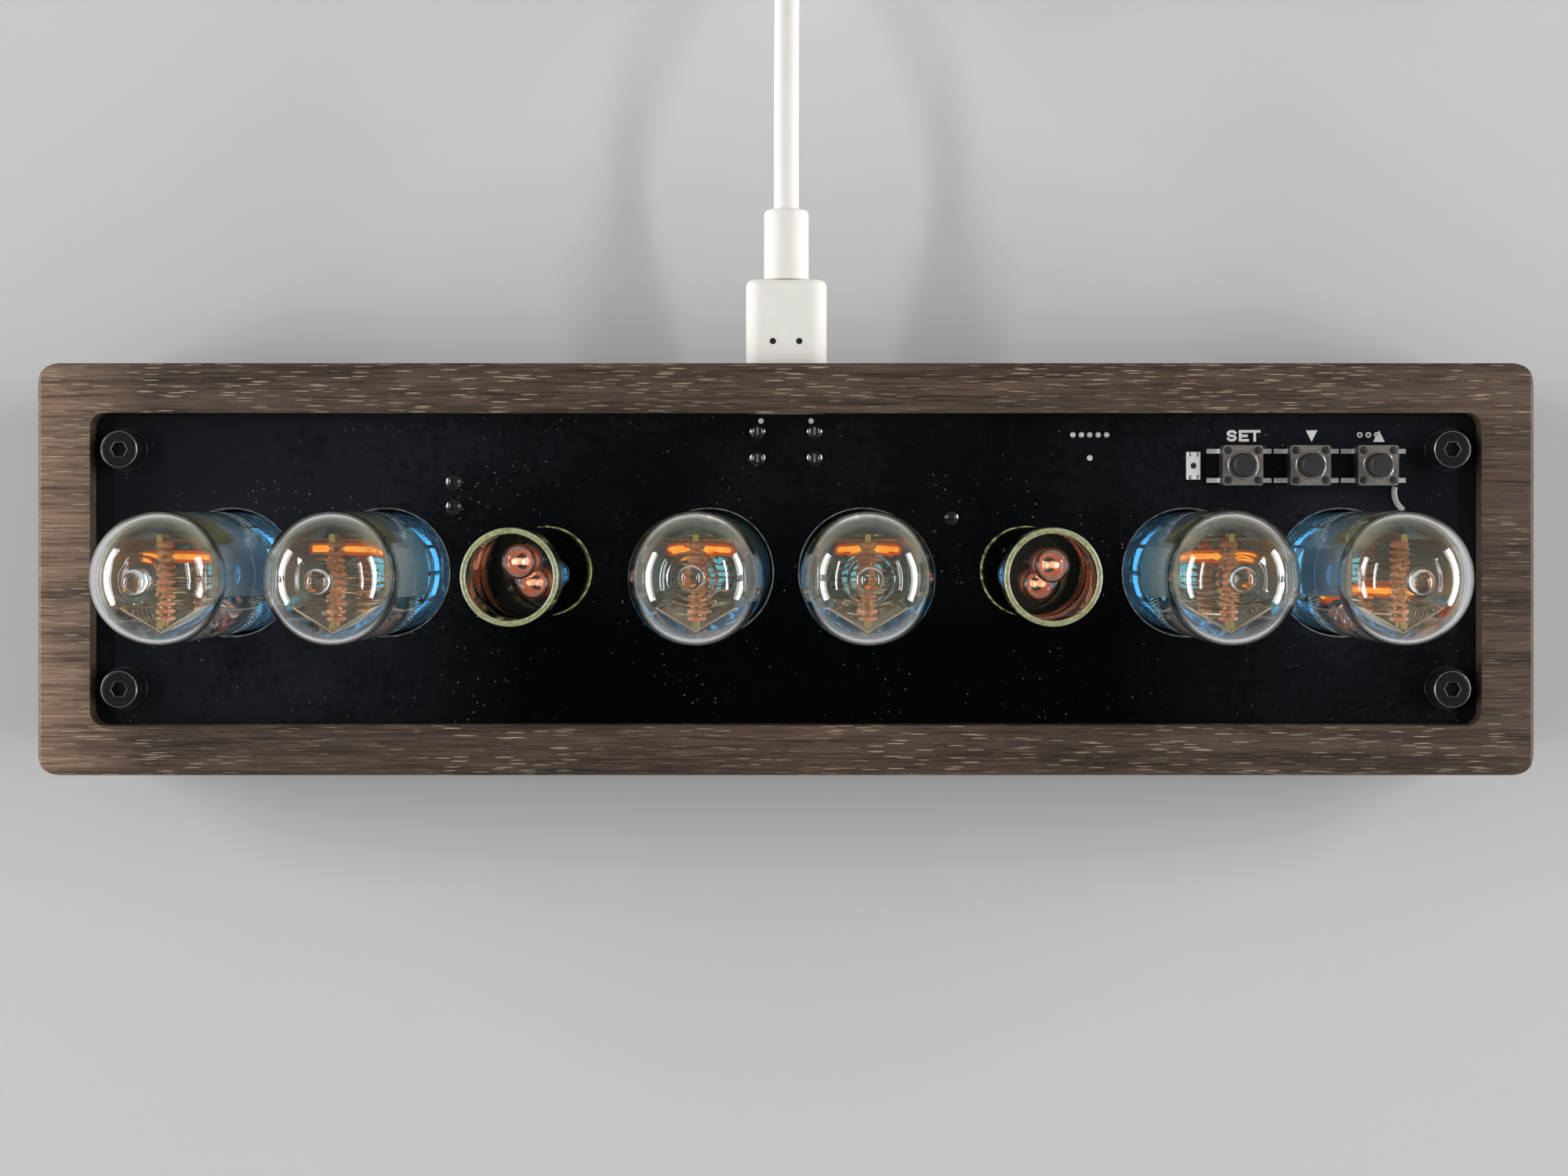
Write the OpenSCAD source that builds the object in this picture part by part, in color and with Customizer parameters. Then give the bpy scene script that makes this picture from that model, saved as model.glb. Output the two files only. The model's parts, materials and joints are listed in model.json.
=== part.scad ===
// Nixie tube clock: a wooden case, two circuit boards, six indicator tubes,
// two colon tubes with neon lamps, three push switches and a power cable.
// Origin at the middle of the footprint, on the table. X runs along the clock,
// +Y points to the back, where the cable leaves, and +Z is up.

/* [Case] */
// Length of the wooden case
case_l = 225; // [218:0.5:250]
// Depth of the wooden case, front to back
case_w = 62; // [60:0.5:76]
// Height of the wooden case
case_h = 27; // [25:0.5:34]
// Thickness of the two end walls
wall_end = 8; // [7:0.5:10]
// Thickness of the front and back walls
wall_side = 7.5; // [7:0.5:8.5]
// Radius of the upright outer corners
corner_r = 3.3; // [2:0.1:6]
// Radius of the upright inner corners
inner_r = 2.2; // [1.5:0.1:3]
// Width of the chamfer round the outer edges
edge_chamfer = 0.6; // [0.2:0.1:1]
// Depth of the top board below the rim
recess = 2.9; // [1:0.1:4]
// Thickness of the bottom cover
cover_t = 3; // [2:0.5:4]
// Width of the ledge that the bottom cover fits in
cover_ledge = 2; // [1:0.5:3]
// Diameter of a rubber foot
foot_d = 10; // [8:0.5:14]
// Height of a rubber foot
foot_h = 2; // [1:0.5:4]

/* [Boards] */
// Thickness of both circuit boards
board_t = 1.6; // [1:0.2:2]
// Free space between the two boards
board_gap = 6.9; // [6.5:0.1:7.5]
// Clearance round the edge of the top board
board_clear = 0.15; // [0.1:0.05:0.5]
// Distance of the corner screws from the ends of the case
screw_from_end = 12.5; // [12:0.1:13.5]
// Distance of the corner screws from the front and back of the case
screw_from_side = 13; // [12.5:0.1:14]
// Diameter of the corner screws' heads
screw_head_d = 5.6; // [5:0.1:6]
// Height of the corner screws' heads
screw_head_h = 3; // [2:0.1:3.4]

/* [Indicator tubes] */
// Distance between the two tubes of a pair
tube_pitch = 23.3; // [22:0.1:24]
// Distance from the middle of an outer pair to the end of the case
pair_from_end = 40.15; // [38:0.05:42]
// Offset of the row of tubes from the middle, towards the back
tube_y = -0.55; // [-1:0.05:1]
// Outer diameter of a glass envelope
tube_d = 18.3; // [18:0.1:18.8]
// Height of a glass envelope without its tip
tube_h = 50; // [48:0.5:60]
// Height of the sealed glass tip
tip_h = 3.2; // [2:0.1:5]
// Wall of a glass envelope
glass_wall = 0.8; // [0.5:0.1:1]
// Clearance round a tube in the top board
tube_clear = 0.45; // [0.2:0.05:0.6]
// Height of a digit
digit_h = 18; // [15:0.5:20]
// Width of a digit's wire
digit_line = 0.6; // [0.4:0.1:0.9]
// Distance from one digit to the next in the stack
digit_pitch = 1; // [0.9:0.05:1.1]

/* [Colon tubes] */
// Outer diameter of a colon tube
colon_d = 13.2; // [12.8:0.1:14]
// Wall of a colon tube
colon_wall = 1.1; // [0.8:0.1:1.2]
// Height of a colon tube above the top board
colon_h = 41.5; // [38:0.5:50]
// Diameter of a neon lamp
lamp_d = 4.8; // [4:0.1:5]
// Height of the upper neon lamps' tips above the top board
upper_lamp_top = 34; // [33:0.5:36]
// Height of the lower neon lamps' tips above the top board
lower_lamp_top = 19; // [17:0.5:20]

/* [Push switches] */
// Distance of the middle switch from the end of the case
switch_from_end = 33.75; // [32:0.05:35]
// Distance from one switch to the next
switch_pitch = 10.16; // [10:0.01:10.4]
// Distance of the switches from the back edge of the board
switch_from_edge = 7.9; // [7:0.1:8.5]
// Side length of a switch
switch_size = 6; // [5.8:0.1:6.2]
// Diameter of a plunger
plunger_d = 3.5; // [3:0.1:3.8]
// Height of a plunger's top above the board
plunger_h = 6; // [5:0.1:9]
// Travel of a plunger
plunger_travel = 0.25; // [0.1:0.05:0.3]

/* [Power cable] */
// Diameter of the cord
cord_d = 3.8; // [3.2:0.1:4]
// Width of the plug moulding
plug_w = 12.3; // [11:0.1:13]
// Thickness of the plug moulding
plug_t = 7; // [6:0.1:7.6]
// Length of the plug moulding behind the case
plug_out = 13; // [10:0.5:20]
// Diameter of the strain relief
relief_d = 6.8; // [5.5:0.1:7]
// Length of the strain relief
relief_l = 10.7; // [8:0.1:14]

/* [Hidden] */
$fn = 48;
// a hair's breadth between pieces that are fused, seated or soldered together
seat_gap = 0.05;
// wider holes that screws, leads and pins pass through, measured on the radius
bore_clear = 0.15;

// levels, from the table up
case_bottom = foot_h;
case_top = case_bottom + case_h;
cover_top = case_bottom + cover_t;
board_top = case_top - recess;
board_under = board_top - board_t;
lower_top = board_under - board_gap;
lower_under = lower_top - board_t;
room_under = lower_under - cover_top;
open_l = case_l - 2 * wall_end;
open_w = case_w - 2 * wall_side;
board_l = open_l - 2 * board_clear;
board_w = open_w - 2 * board_clear;
board_back = board_w / 2;
group_pitch = case_l / 2 - pair_from_end;

// corner bosses, inserts and screws
screw_x = case_l / 2 - screw_from_end;
screw_y = case_w / 2 - screw_from_side;
screw_shaft_r = 1.5;
screw_l = 8;
washer_r = 3.4;
washer_t = 0.5;
insert_r = 2.3;
insert_l = 5;
screw_edge = 0.3;
hex_r = 1.25;
hex_depth = 1.4;
boss_side = 5;
foot_taper = 0.3;
lower_end_gap = 1;
lower_side_gap = 1.3;
lower_corner_r = 1;
lower_l = 2 * (screw_x - boss_side - lower_end_gap);
lower_w = open_w - 2 * lower_side_gap;
spacer_x = group_pitch;
spacer_y = open_w / 2 - 6.5;
spacer_flat = 5.5;
pan_head_r = 2.75;
pan_head_h = 1.8;
flat_head_h = 1.4;
flat_hex_r = 1;
flat_hex_depth = 0.9;
spacer_thread = 4;
slot_l = 3;
slot_w = 0.6;
slot_depth = 0.8;

// tubes
tube_r = tube_d / 2;
tube_inner_r = tube_r - glass_wall;
tube_x = [for (g = [-1:1]) for (s = [-1, 1]) g * group_pitch + s * tube_pitch / 2];
lead_spacer_h = 3.4;
tube_foot = lower_top + lead_spacer_h;
shoulder_h = 8;
shoulder_z = tube_foot + tube_h - shoulder_h;
stem_t = 3;
lead_ring_r = 6;
lead_r = 0.25;
lead_count = 12;
lead_tail = 1;
mica_t = 0.2;
mica_r = tube_inner_r - 0.15;
mica_top = shoulder_z - 0.4;
eyelet_r = 0.9;
eyelet_out = digit_h / 2 + 1.2;
digit_z = mica_top - mica_t - 2.3 - eyelet_out;
mica_low = digit_z - eyelet_out - 2.3;
digit_t = 0.2;
digit_back = 3.9;
digit_count = 10;
rod_r = 0.45;
rod_back = 6;
rod_front = -6.7;
bead_r = 1.3;
shield_t = 0.15;
shield_y = 5.4;
shield_x = 7;
mesh_t = 0.12;
mesh_tip = 7.4;
mesh_x = 5.4;
mesh_y = 4.1;
mesh_rows = 9;
getter_r = 1.9;
getter_wire = 0.4;
getter_below_mica = 8;
digit_order = [3, 2, 8, 9, 4, 0, 6, 7, 5, 1];

// colons
colon_x = [-group_pitch / 2, group_pitch / 2];
colon_y = -0.3;
colon_clear = 0.2;
upper_lamp_at = [[0, 1.9], [0.8, 1.4]];
lower_lamp_at = [[0, -1.4], [0.5, -1.6]];
lamp_l = 11;
lamp_wall = 0.35;
lamp_wire_r = 0.25;
lamp_wire_apart = 1.2;

// switches and parts near them
switch_y = board_back + board_clear - switch_from_edge;
switch_h = 3.5;
cover_plate = 0.3;
cover_corner_r = 0.4;
rivet_r = 0.5;
rivet_in = 0.75;
well_r = 2.4;
well_floor = 0.9;
flange_r = 2.25;
flange_t = 0.75;
plunger_low = 2.3;
dome_top = plunger_low - plunger_travel - seat_gap;
plunger_edge = 0.2;
dome_t = 0.1;
dome_clear = 0.15;
terminal_w = 0.7;
terminal_t = 0.2;
terminal_out = 1.9;
terminal_up = 1.2;
terminal_in = 0.8;
switch_x = case_l / 2 - switch_from_end;
sensor_x = switch_x - 17.15;
sensor_w = 2;
sensor_l = 4.16;
sensor_h = 0.9;
sensor_window_r = 0.5;
sensor_window_depth = 0.2;
wire_from_switch = [6.3, -4.05];
wire_bend_r = 3.2;
wire_bend = [165, 235];
wire_r = 0.42;
wire_rise = 0.45;
header_x = switch_x - 32.75;
header_y = board_back - 3.05;
header_pins_n = 5;
header_pitch = 1.27;
header_pin = 0.4;
header_wide = 2.2;
header_bore_r = 0.33;
header_pin_up = 0.5;
pad_h = 0.05;
pad_r = 0.43;
pad_bore_r = 0.2;
pad_pitch = 1.3;
pad_from_switch = 9.45;
test_pad_in = 3.5;
edge_pad_x = 3.8;
edge_pad_r = 0.4;
edge_pad_in = 0.95;

// USB socket
usb_w = 8.94;
usb_h = 3.2;
usb_wall = 0.3;
usb_back_wall = 0.6;
usb_l = 7.2;
usb_front = board_back - 0.15;
usb_z = board_under - usb_h / 2 - seat_gap;
usb_tab_y = [2.35, 6.45];
usb_tab_w = 1.2;
usb_tab_up = 0.5;
tongue_w = 6.7;
tongue_t = 0.7;
tongue_l = 4.6;
tab_joint_r = 1.15;
pair_joint_r = 1.2;
pair_joint_in = [10.25, 14];
pair_joint_x = -1.35;
lone_joint_r = 1;
lone_joint_in = 15.65;
lone_joint_x = 1.8;

// parts on the lower board
light_side = 5;
light_h = 1.6;
light_well_r = 1.9;
light_well_depth = 0.4;
chip_gap = 0.1;
leg_w = 0.45;
leg_l = 1.2;
leg_h = 0.7;
leg_pairs = 12;
controller_size = [10, 8, 1.5];
driver_size = [16, 7, 2.4];
controller_y = -lower_w / 4 - 2;
driver_y = lower_w / 4 + 2;
coil_block = [11, 11, 6];
coil_block_r = 2;
coil_cap_r = 4;
coil_cap_h = 0.4;
capacitor_r = (room_under - 1.5) / 2;
capacitor_l = 16;
capacitor_y = -lower_w / 4 - 4.5;
cell_r = 6.25;
cell_h = 2;
cell_cover = 1.2;
holder_size = [15, 14.5];
holder_r = 1.5;
holder_y = lower_w / 4 + 3.2;

// plug, its opening in the case and the strain relief
plug_gap = 0.4;
shell_w = 8.25;
shell_h = 2.4;
shell_bore_w = 7.2;
shell_bore_h = 1.4;
shell_in = 5.8;
plug_front = usb_front + 0.3;
plug_back = case_w / 2 + plug_out;
plug_r = 2.8;
dimple_apart = 4;
dimple_r = 0.5;
dimple_at = case_w / 2 + 3.5;
relief_end = plug_back + relief_l;

// cord: free stretches as points chosen by hand, the coil from its counts
coil_low = 2.5;
coil_pitch = 4.25;
coil_inner = 15.3;
coil_turns = 6.25;
coil_steps = 24;
coil_y = 136;
coil_half = coil_turns / 2;
coil_outer = coil_inner + coil_pitch * coil_half;
coil_x = coil_outer;
lead_points = [
    [0, 0, 22.9], [0, 5, 22.9], [0, 12, 22.6], [0, 20, 21.6], [0, 28, 19.5], [0, 36, 16],
    [0, 43.5, 11.8], [0, 51, 7.6], [0, 58, 4.6], [0, 65, 3], [0, 72, 2.5], [0, 77.5, 2.5]
];
lead_end = [0, coil_y - cord_d, coil_low];
tail_points = [
    [8, 0, 0], [14, 0, -1.4], [20, 0, -3.1], [25, -0.6, -4.1], [30.2, -2.4, -4.2],
    [34.6, -5.4, -4], [38, -9.6, -3.5], [40.2, -14.6, -2.9], [41.2, -18.6, -2.7], [41.2, -22, -2.7]
];
tail_last = tail_points[len(tail_points) - 1];
tie_w = 7;
tie_t = 0.5;
tie_clear = 0.3;

// USB-A plug at the far end, lying on the table and pointing to the front
far_w = 15.6;
far_t = 8;
far_l = 24;
far_relief_r = 3;
far_relief_l = 8;
far_shell_w = 12;
far_shell_h = 4.5;
far_shell_l = 12;
far_x = coil_x + tail_last[0];
far_y = coil_y + coil_outer + tail_last[1];
far_z = far_t / 2 + seat_gap;

// ---- helpers ----

// flat outline with round corners, centred
module rounded(l, w, r) {
    square([l - 2 * r, w], center = true);
    square([l, w - 2 * r], center = true);
    for (x = [-1, 1], y = [-1, 1])
        translate([x * (l / 2 - r), y * (w / 2 - r)]) circle(r);
}

// upright block with round corners, standing on z
module plate(l, w, h, r, z) {
    translate([0, 0, z]) linear_extrude(h) rounded(l, w, r);
}

// block with round corners that runs along Y from y0 to y1
module bar_y(w, h, r, y0, y1, x, z) {
    translate([x, y1, z]) rotate([90, 0, 0]) linear_extrude(y1 - y0) rounded(w, h, r);
}

module at_corners(x, y) {
    for (sx = [-1, 1], sy = [-1, 1]) translate([sx * x, sy * y, 0]) children();
}

module at_tubes() {
    for (x = tube_x) translate([x, tube_y, 0]) children();
}

module at_switches() {
    for (i = [-1:1]) translate([switch_x + i * switch_pitch, switch_y, board_top]) children();
}

// ring with a bore, standing on z
module ring(outer, inner, h, z) {
    translate([0, 0, z]) difference() {
        cylinder(r = outer, h = h);
        translate([0, 0, -1]) cylinder(r = inner, h = h + 2);
    }
}

// tube of triangles swept along a path that never runs upright
function unit(v) = v / norm(v);
function heading(p, i) = unit(p[min(i + 1, len(p) - 1)] - p[max(i - 1, 0)]);
function sideways(t) = unit(cross(t, [0, 0, 1]));
function rings(p, r, n) = [
    for (i = [0:len(p) - 1])
        let (t = heading(p, i), s = sideways(t), u = cross(s, t))
            for (k = [0:n - 1]) p[i] + r * (cos(360 * k / n) * s + sin(360 * k / n) * u)
];
module swept(p, d, n) {
    last = (len(p) - 1) * n;
    polyhedron(
        rings(p, d / 2, n),
        concat(
            [for (i = [0:len(p) - 2]) for (k = [0:n - 1])
                [i * n + k, i * n + (k + 1) % n, (i + 1) * n + k]],
            [for (i = [0:len(p) - 2]) for (k = [0:n - 1])
                [(i + 1) * n + k, i * n + (k + 1) % n, (i + 1) * n + (k + 1) % n]],
            [for (k = [1:n - 2]) [0, k + 1, k]],
            [for (k = [1:n - 2]) [last, last + k, last + k + 1]]
        )
    );
}

// ---- case ----

// case block with chamfered outer edges
module case_block() {
    intersection() {
        plate(case_l, case_w, case_h, corner_r, case_bottom);
        chamfered(case_w, case_l);
        rotate([0, 0, 90]) chamfered(case_l, case_w);
    }
}

// bar along X whose section has its four corners cut off
module chamfered(w, l) {
    c = edge_chamfer;
    y = w / 2;
    translate([-l, 0, 0]) rotate([90, 0, 90]) linear_extrude(2 * l) polygon([
        [-y + c, case_bottom], [y - c, case_bottom], [y, case_bottom + c], [y, case_top - c],
        [y - c, case_top], [-y + c, case_top], [-y, case_top - c], [-y, case_bottom + c]
    ]);
}

module case_frame() {
    color([0.42, 0.36, 0.32]) difference() {
        union() {
            difference() {
                case_block();
                plate(open_l, open_w, case_h + 2, inner_r, case_bottom - 1);
            }
            corner_bosses();
        }
        plate(open_l + 2 * cover_ledge, open_w + 2 * cover_ledge, cover_t + 1, inner_r,
            case_bottom - 1);
        at_corners(screw_x, screw_y) insert_holes();
        bar_y(plug_w + 2 * plug_gap, plug_t + 2 * plug_gap, plug_r + plug_gap,
            open_w / 2 - 1, case_w / 2 + 1, 0, usb_z);
    }
}

// blocks that fill the inner corners between the cover and the top board
module corner_bosses() {
    long = open_l / 2 - screw_x + boss_side + wall_end / 2;
    wide = open_w / 2 - screw_y + boss_side + wall_side / 2;
    for (sx = [-1, 1], sy = [-1, 1])
        translate([
            sx * (screw_x - boss_side + long / 2),
            sy * (screw_y - boss_side + wide / 2),
            (cover_top + board_under) / 2
        ])
            cube([long, wide, board_under - cover_top], center = true);
}

module insert_holes() {
    translate([0, 0, cover_top - 1]) cylinder(r = insert_r + seat_gap, h = insert_l + 1 + seat_gap);
    translate([0, 0, board_under + washer_t - screw_l])
        cylinder(r = screw_shaft_r + bore_clear, h = screw_l - insert_l);
    translate([0, 0, board_under - insert_l - seat_gap])
        cylinder(r = insert_r + seat_gap, h = insert_l + 1);
}

module threaded_inserts() {
    color([0.78, 0.62, 0.3]) at_corners(screw_x, screw_y) {
        ring(insert_r, screw_shaft_r + seat_gap, insert_l, cover_top);
        ring(insert_r, screw_shaft_r + seat_gap, insert_l, board_under - insert_l);
    }
}

module bottom_cover() {
    color([0.1, 0.1, 0.11]) difference() {
        plate(open_l + 2 * cover_ledge - 2 * board_clear, open_w + 2 * cover_ledge - 2 * board_clear,
            cover_t, inner_r, case_bottom);
        at_corners(screw_x, screw_y) countersink();
        at_corners(spacer_x, spacer_y) countersink();
    }
}

// hole for a flat-headed screw whose head is flush with the cover's underside
module countersink() {
    translate([0, 0, case_bottom - 1]) cylinder(r = screw_shaft_r + bore_clear, h = cover_t + 2);
    translate([0, 0, case_bottom])
        cylinder(r1 = pan_head_r + bore_clear, r2 = screw_shaft_r + bore_clear, h = flat_head_h);
}

// flat-headed screw that points up from the cover's underside
module flat_screw(l) {
    translate([0, 0, case_bottom]) difference() {
        union() {
            cylinder(r1 = pan_head_r, r2 = screw_shaft_r, h = flat_head_h);
            cylinder(r = screw_shaft_r, h = l);
        }
        translate([0, 0, flat_hex_depth - 2]) cylinder(r = flat_hex_r, h = 2, $fn = 6);
    }
}

module cover_screws() {
    color([0.2, 0.2, 0.2]) at_corners(screw_x, screw_y) flat_screw(cover_t + insert_l - 1);
}

module rubber_feet() {
    color([0.12, 0.12, 0.12]) at_corners(screw_x - foot_d, screw_y - foot_d / 4)
        cylinder(r1 = foot_d / 2 - foot_taper, r2 = foot_d / 2, h = foot_h);
}

// ---- boards ----

module tube_holes(r) {
    at_tubes() translate([0, 0, board_under - 1]) cylinder(r = r, h = board_t + 2);
}

module top_board() {
    color([0.05, 0.06, 0.08]) difference() {
        plate(board_l, board_w, board_t, inner_r, board_under);
        tube_holes(tube_r + tube_clear);
        for (x = colon_x) translate([x, colon_y, board_under - 1])
            cylinder(r = colon_d / 2 + colon_clear, h = board_t + 2);
        at_corners(screw_x, screw_y) translate([0, 0, board_under - 1])
            cylinder(r = screw_shaft_r + bore_clear, h = board_t + 2);
        header_holes(board_under);
        for (x = [-1, 1], y = usb_tab_y)
            translate([x * (usb_w - usb_wall) / 2, usb_front - y, board_under - 1])
                cylinder(r = usb_tab_w / 2 + bore_clear, h = board_t + 2);
    }
}

module washers() {
    color([0.16, 0.16, 0.17]) at_corners(screw_x, screw_y)
        ring(washer_r, screw_shaft_r + 0.1, washer_t, board_top);
}

module corner_screws() {
    color([0.1, 0.1, 0.11]) at_corners(screw_x, screw_y)
        translate([0, 0, board_top + washer_t]) difference() {
            union() {
                cylinder(r = screw_head_d / 2, h = screw_head_h - screw_edge);
                translate([0, 0, screw_head_h - screw_edge])
                    cylinder(r1 = screw_head_d / 2, r2 = screw_head_d / 2 - screw_edge, h = screw_edge);
                translate([0, 0, -screw_l]) cylinder(r = screw_shaft_r, h = screw_l);
            }
            translate([0, 0, screw_head_h - hex_depth]) cylinder(r = hex_r, h = 2, $fn = 6);
        }
}

module tube_board() {
    color([0.08, 0.2, 0.12]) difference() {
        plate(lower_l, lower_w, board_t, lower_corner_r, lower_under);
        at_tubes() lead_circle() translate([0, 0, lower_under - 1])
            cylinder(r = lead_r + bore_clear, h = board_t + 2);
        at_corners(spacer_x, spacer_y) translate([0, 0, lower_under - 1])
            cylinder(r = screw_shaft_r + bore_clear, h = board_t + 2);
        header_holes(lower_under);
        at_lamp_wires() translate([0, 0, lower_under - 1])
            cylinder(r = lamp_wire_r + bore_clear, h = board_t + 2);
    }
}

module board_spacers() {
    color([0.8, 0.68, 0.38]) at_corners(spacer_x, spacer_y) difference() {
        translate([0, 0, cover_top])
            cylinder(d = spacer_flat / cos(30), h = lower_under - cover_top, $fn = 6);
        translate([0, 0, cover_top - 1])
            cylinder(r = screw_shaft_r + seat_gap, h = lower_under - cover_top + 2);
    }
}

module spacer_screws() {
    color([0.7, 0.7, 0.72]) at_corners(spacer_x, spacer_y) {
        flat_screw(cover_t + spacer_thread);
        translate([0, 0, lower_top]) {
            translate([0, 0, -board_t - spacer_thread])
                cylinder(r = screw_shaft_r, h = board_t + spacer_thread);
            difference() {
                cylinder(r = pan_head_r, h = pan_head_h);
                translate([0, 0, pan_head_h - slot_depth + 1]) cube([slot_l, slot_w, 2], center = true);
            }
        }
    }
}

module at_header_pins() {
    for (i = [0:header_pins_n - 1])
        translate([header_x + (i - (header_pins_n - 1) / 2) * header_pitch, header_y, 0]) children();
}

module header_holes(z) {
    at_header_pins() translate([0, 0, z - 1]) cylinder(r = header_bore_r, h = board_t + 2);
}

module board_header() {
    color([0.1, 0.1, 0.1]) difference() {
        translate([header_x, header_y, (board_under + lower_top) / 2])
            cube([header_pins_n * header_pitch, header_wide, board_gap], center = true);
        at_header_pins() translate([0, 0, lower_top - 1])
            cylinder(r = header_bore_r, h = board_gap + 2);
    }
}

module header_pins() {
    low = lower_under - lead_tail;
    color([0.85, 0.85, 0.82]) at_header_pins() translate([0, 0, low])
        linear_extrude(board_top + header_pin_up - low) square(header_pin, center = true);
}

// ---- USB socket, joints and pads ----

module usb_receptacle() {
    y0 = usb_front - usb_l;
    color([0.75, 0.76, 0.78]) {
        difference() {
            bar_y(usb_w, usb_h, usb_h / 2 - usb_wall, y0, usb_front, 0, usb_z);
            bar_y(usb_w - 2 * usb_wall, usb_h - 2 * usb_wall, usb_h / 2 - 1.4 * usb_wall,
                y0 + usb_back_wall, usb_front + 1, 0, usb_z);
        }
        bar_y(tongue_w, tongue_t, tongue_t / 3, y0 + usb_back_wall / 2, y0 + usb_back_wall + tongue_l,
            0, usb_z);
        for (x = [-1, 1], y = usb_tab_y)
            translate([x * (usb_w - usb_wall) / 2, usb_front - y,
                (usb_z + board_top + usb_tab_up) / 2])
                cube([usb_wall, usb_tab_w, board_top + usb_tab_up - usb_z], center = true);
    }
}

// low round joint on the board
module lump(x, y, r) {
    translate([x, y, board_top]) intersection() {
        cylinder(r = r, h = r);
        translate([0, 0, -r]) sphere(r = 1.42 * r);
    }
}

module solder_joints() {
    color([0.08, 0.08, 0.09]) {
        for (x = [-1, 1], y = usb_tab_y) difference() {
            lump(x * (usb_w - usb_wall) / 2, usb_front - y, tab_joint_r);
            translate([x * (usb_w - usb_wall) / 2, usb_front - y, board_top])
                cube([
                    usb_wall + 2 * seat_gap, usb_tab_w + 2 * seat_gap, 2 * (usb_tab_up + seat_gap)
                ], center = true);
        }
        for (y = pair_joint_in)
            lump(tube_x[1] + tube_pitch / 2 + pair_joint_x, board_back - y, pair_joint_r);
        lump(tube_x[3] + tube_pitch / 2 + lone_joint_x, board_back - lone_joint_in, lone_joint_r);
    }
}

module contact_pads() {
    color([0.85, 0.84, 0.8]) {
        translate([header_x, header_y - test_pad_in, board_top]) cylinder(r = pad_r, h = pad_h);
        for (i = [-1:1])
            translate([switch_x + pad_from_switch + pad_pitch * i, header_y, 0])
                ring(pad_r, pad_bore_r, pad_h, board_top);
        for (x = [-1, 1])
            translate([edge_pad_x * x, board_back - edge_pad_in, board_top])
                cylinder(r = edge_pad_r, h = pad_h);
    }
}

// ---- push switches ----

module switch_bases() {
    s = switch_size;
    color([0.09, 0.09, 0.1]) at_switches() {
        difference() {
            translate([-s / 2, -s / 2, 0]) cube([s, s, switch_h - cover_plate]);
            translate([0, 0, well_floor]) cylinder(r = well_r, h = switch_h);
        }
        at_corners(s / 2 - rivet_in, s / 2 - rivet_in)
            translate([0, 0, switch_h - cover_plate - 0.5])
                cylinder(r = rivet_r, h = cover_plate + 0.7);
    }
}

module switch_covers() {
    s = switch_size;
    color([0.72, 0.72, 0.72]) at_switches() difference() {
        plate(s, s, cover_plate, cover_corner_r, switch_h - cover_plate);
        translate([0, 0, switch_h - 1]) cylinder(r = plunger_d / 2 + 0.1, h = 2);
        at_corners(s / 2 - rivet_in, s / 2 - rivet_in)
            translate([0, 0, switch_h - 1]) cylinder(r = rivet_r + seat_gap, h = 2);
    }
}

// thin dished disc that snaps through under the plunger
module switch_domes() {
    color([0.8, 0.78, 0.72]) at_switches() translate([0, 0, well_floor]) rotate_extrude() polygon([
        [0, dome_top - well_floor - dome_t], [0, dome_top - well_floor],
        [1.1, dome_top - well_floor - 0.15], [well_r - dome_clear, dome_t], [well_r - dome_clear, 0],
        [well_r - 2 * dome_clear, 0], [1, dome_top - well_floor - 0.15 - 1.5 * dome_t]
    ]);
}

module switch_terminals() {
    s = switch_size;
    color([0.82, 0.82, 0.8]) at_switches() for (x = [-1, 1], y = [-1, 1]) {
        translate([x * (s + terminal_out) / 2, y * (s / 2 - terminal_in), terminal_t / 2])
            cube([terminal_out, terminal_w, terminal_t], center = true);
        translate([x * (s + terminal_t) / 2, y * (s / 2 - terminal_in), terminal_up / 2])
            cube([terminal_t, terminal_w, terminal_up], center = true);
    }
}

module plunger(i) {
    color([0.12, 0.12, 0.13])
        translate([switch_x + i * switch_pitch, switch_y, board_top + plunger_low]) {
            cylinder(r = flange_r, h = flange_t);
            cylinder(r = plunger_d / 2, h = plunger_h - plunger_low - plunger_edge);
            translate([0, 0, plunger_h - plunger_low - plunger_edge])
                cylinder(r1 = plunger_d / 2, r2 = plunger_d / 2 - plunger_edge, h = plunger_edge);
        }
}

module light_sensor() {
    color([0.86, 0.87, 0.88]) difference() {
        translate([sensor_x - sensor_w / 2, switch_y - sensor_l / 2, board_top])
            cube([sensor_w, sensor_l, sensor_h]);
        translate([sensor_x, switch_y, board_top + sensor_h - sensor_window_depth])
            cylinder(r = sensor_window_r, h = 1);
    }
}

module sensor_wire() {
    color([0.92, 0.92, 0.9]) translate([
        switch_x + switch_pitch + wire_from_switch[0], switch_y + wire_from_switch[1],
        board_top + wire_rise
    ])
        rotate([0, 0, wire_bend[0]]) rotate_extrude(angle = wire_bend[1] - wire_bend[0])
            translate([wire_bend_r, 0]) circle(r = wire_r);
}

// ---- parts on the lower board ----

module underlights() {
    color([0.9, 0.92, 0.95]) at_tubes() difference() {
        translate([-light_side / 2, -light_side / 2, lower_top]) cube([light_side, light_side, light_h]);
        translate([0, 0, lower_top + light_h - light_well_depth]) cylinder(r = light_well_r, h = 1);
    }
}

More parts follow.
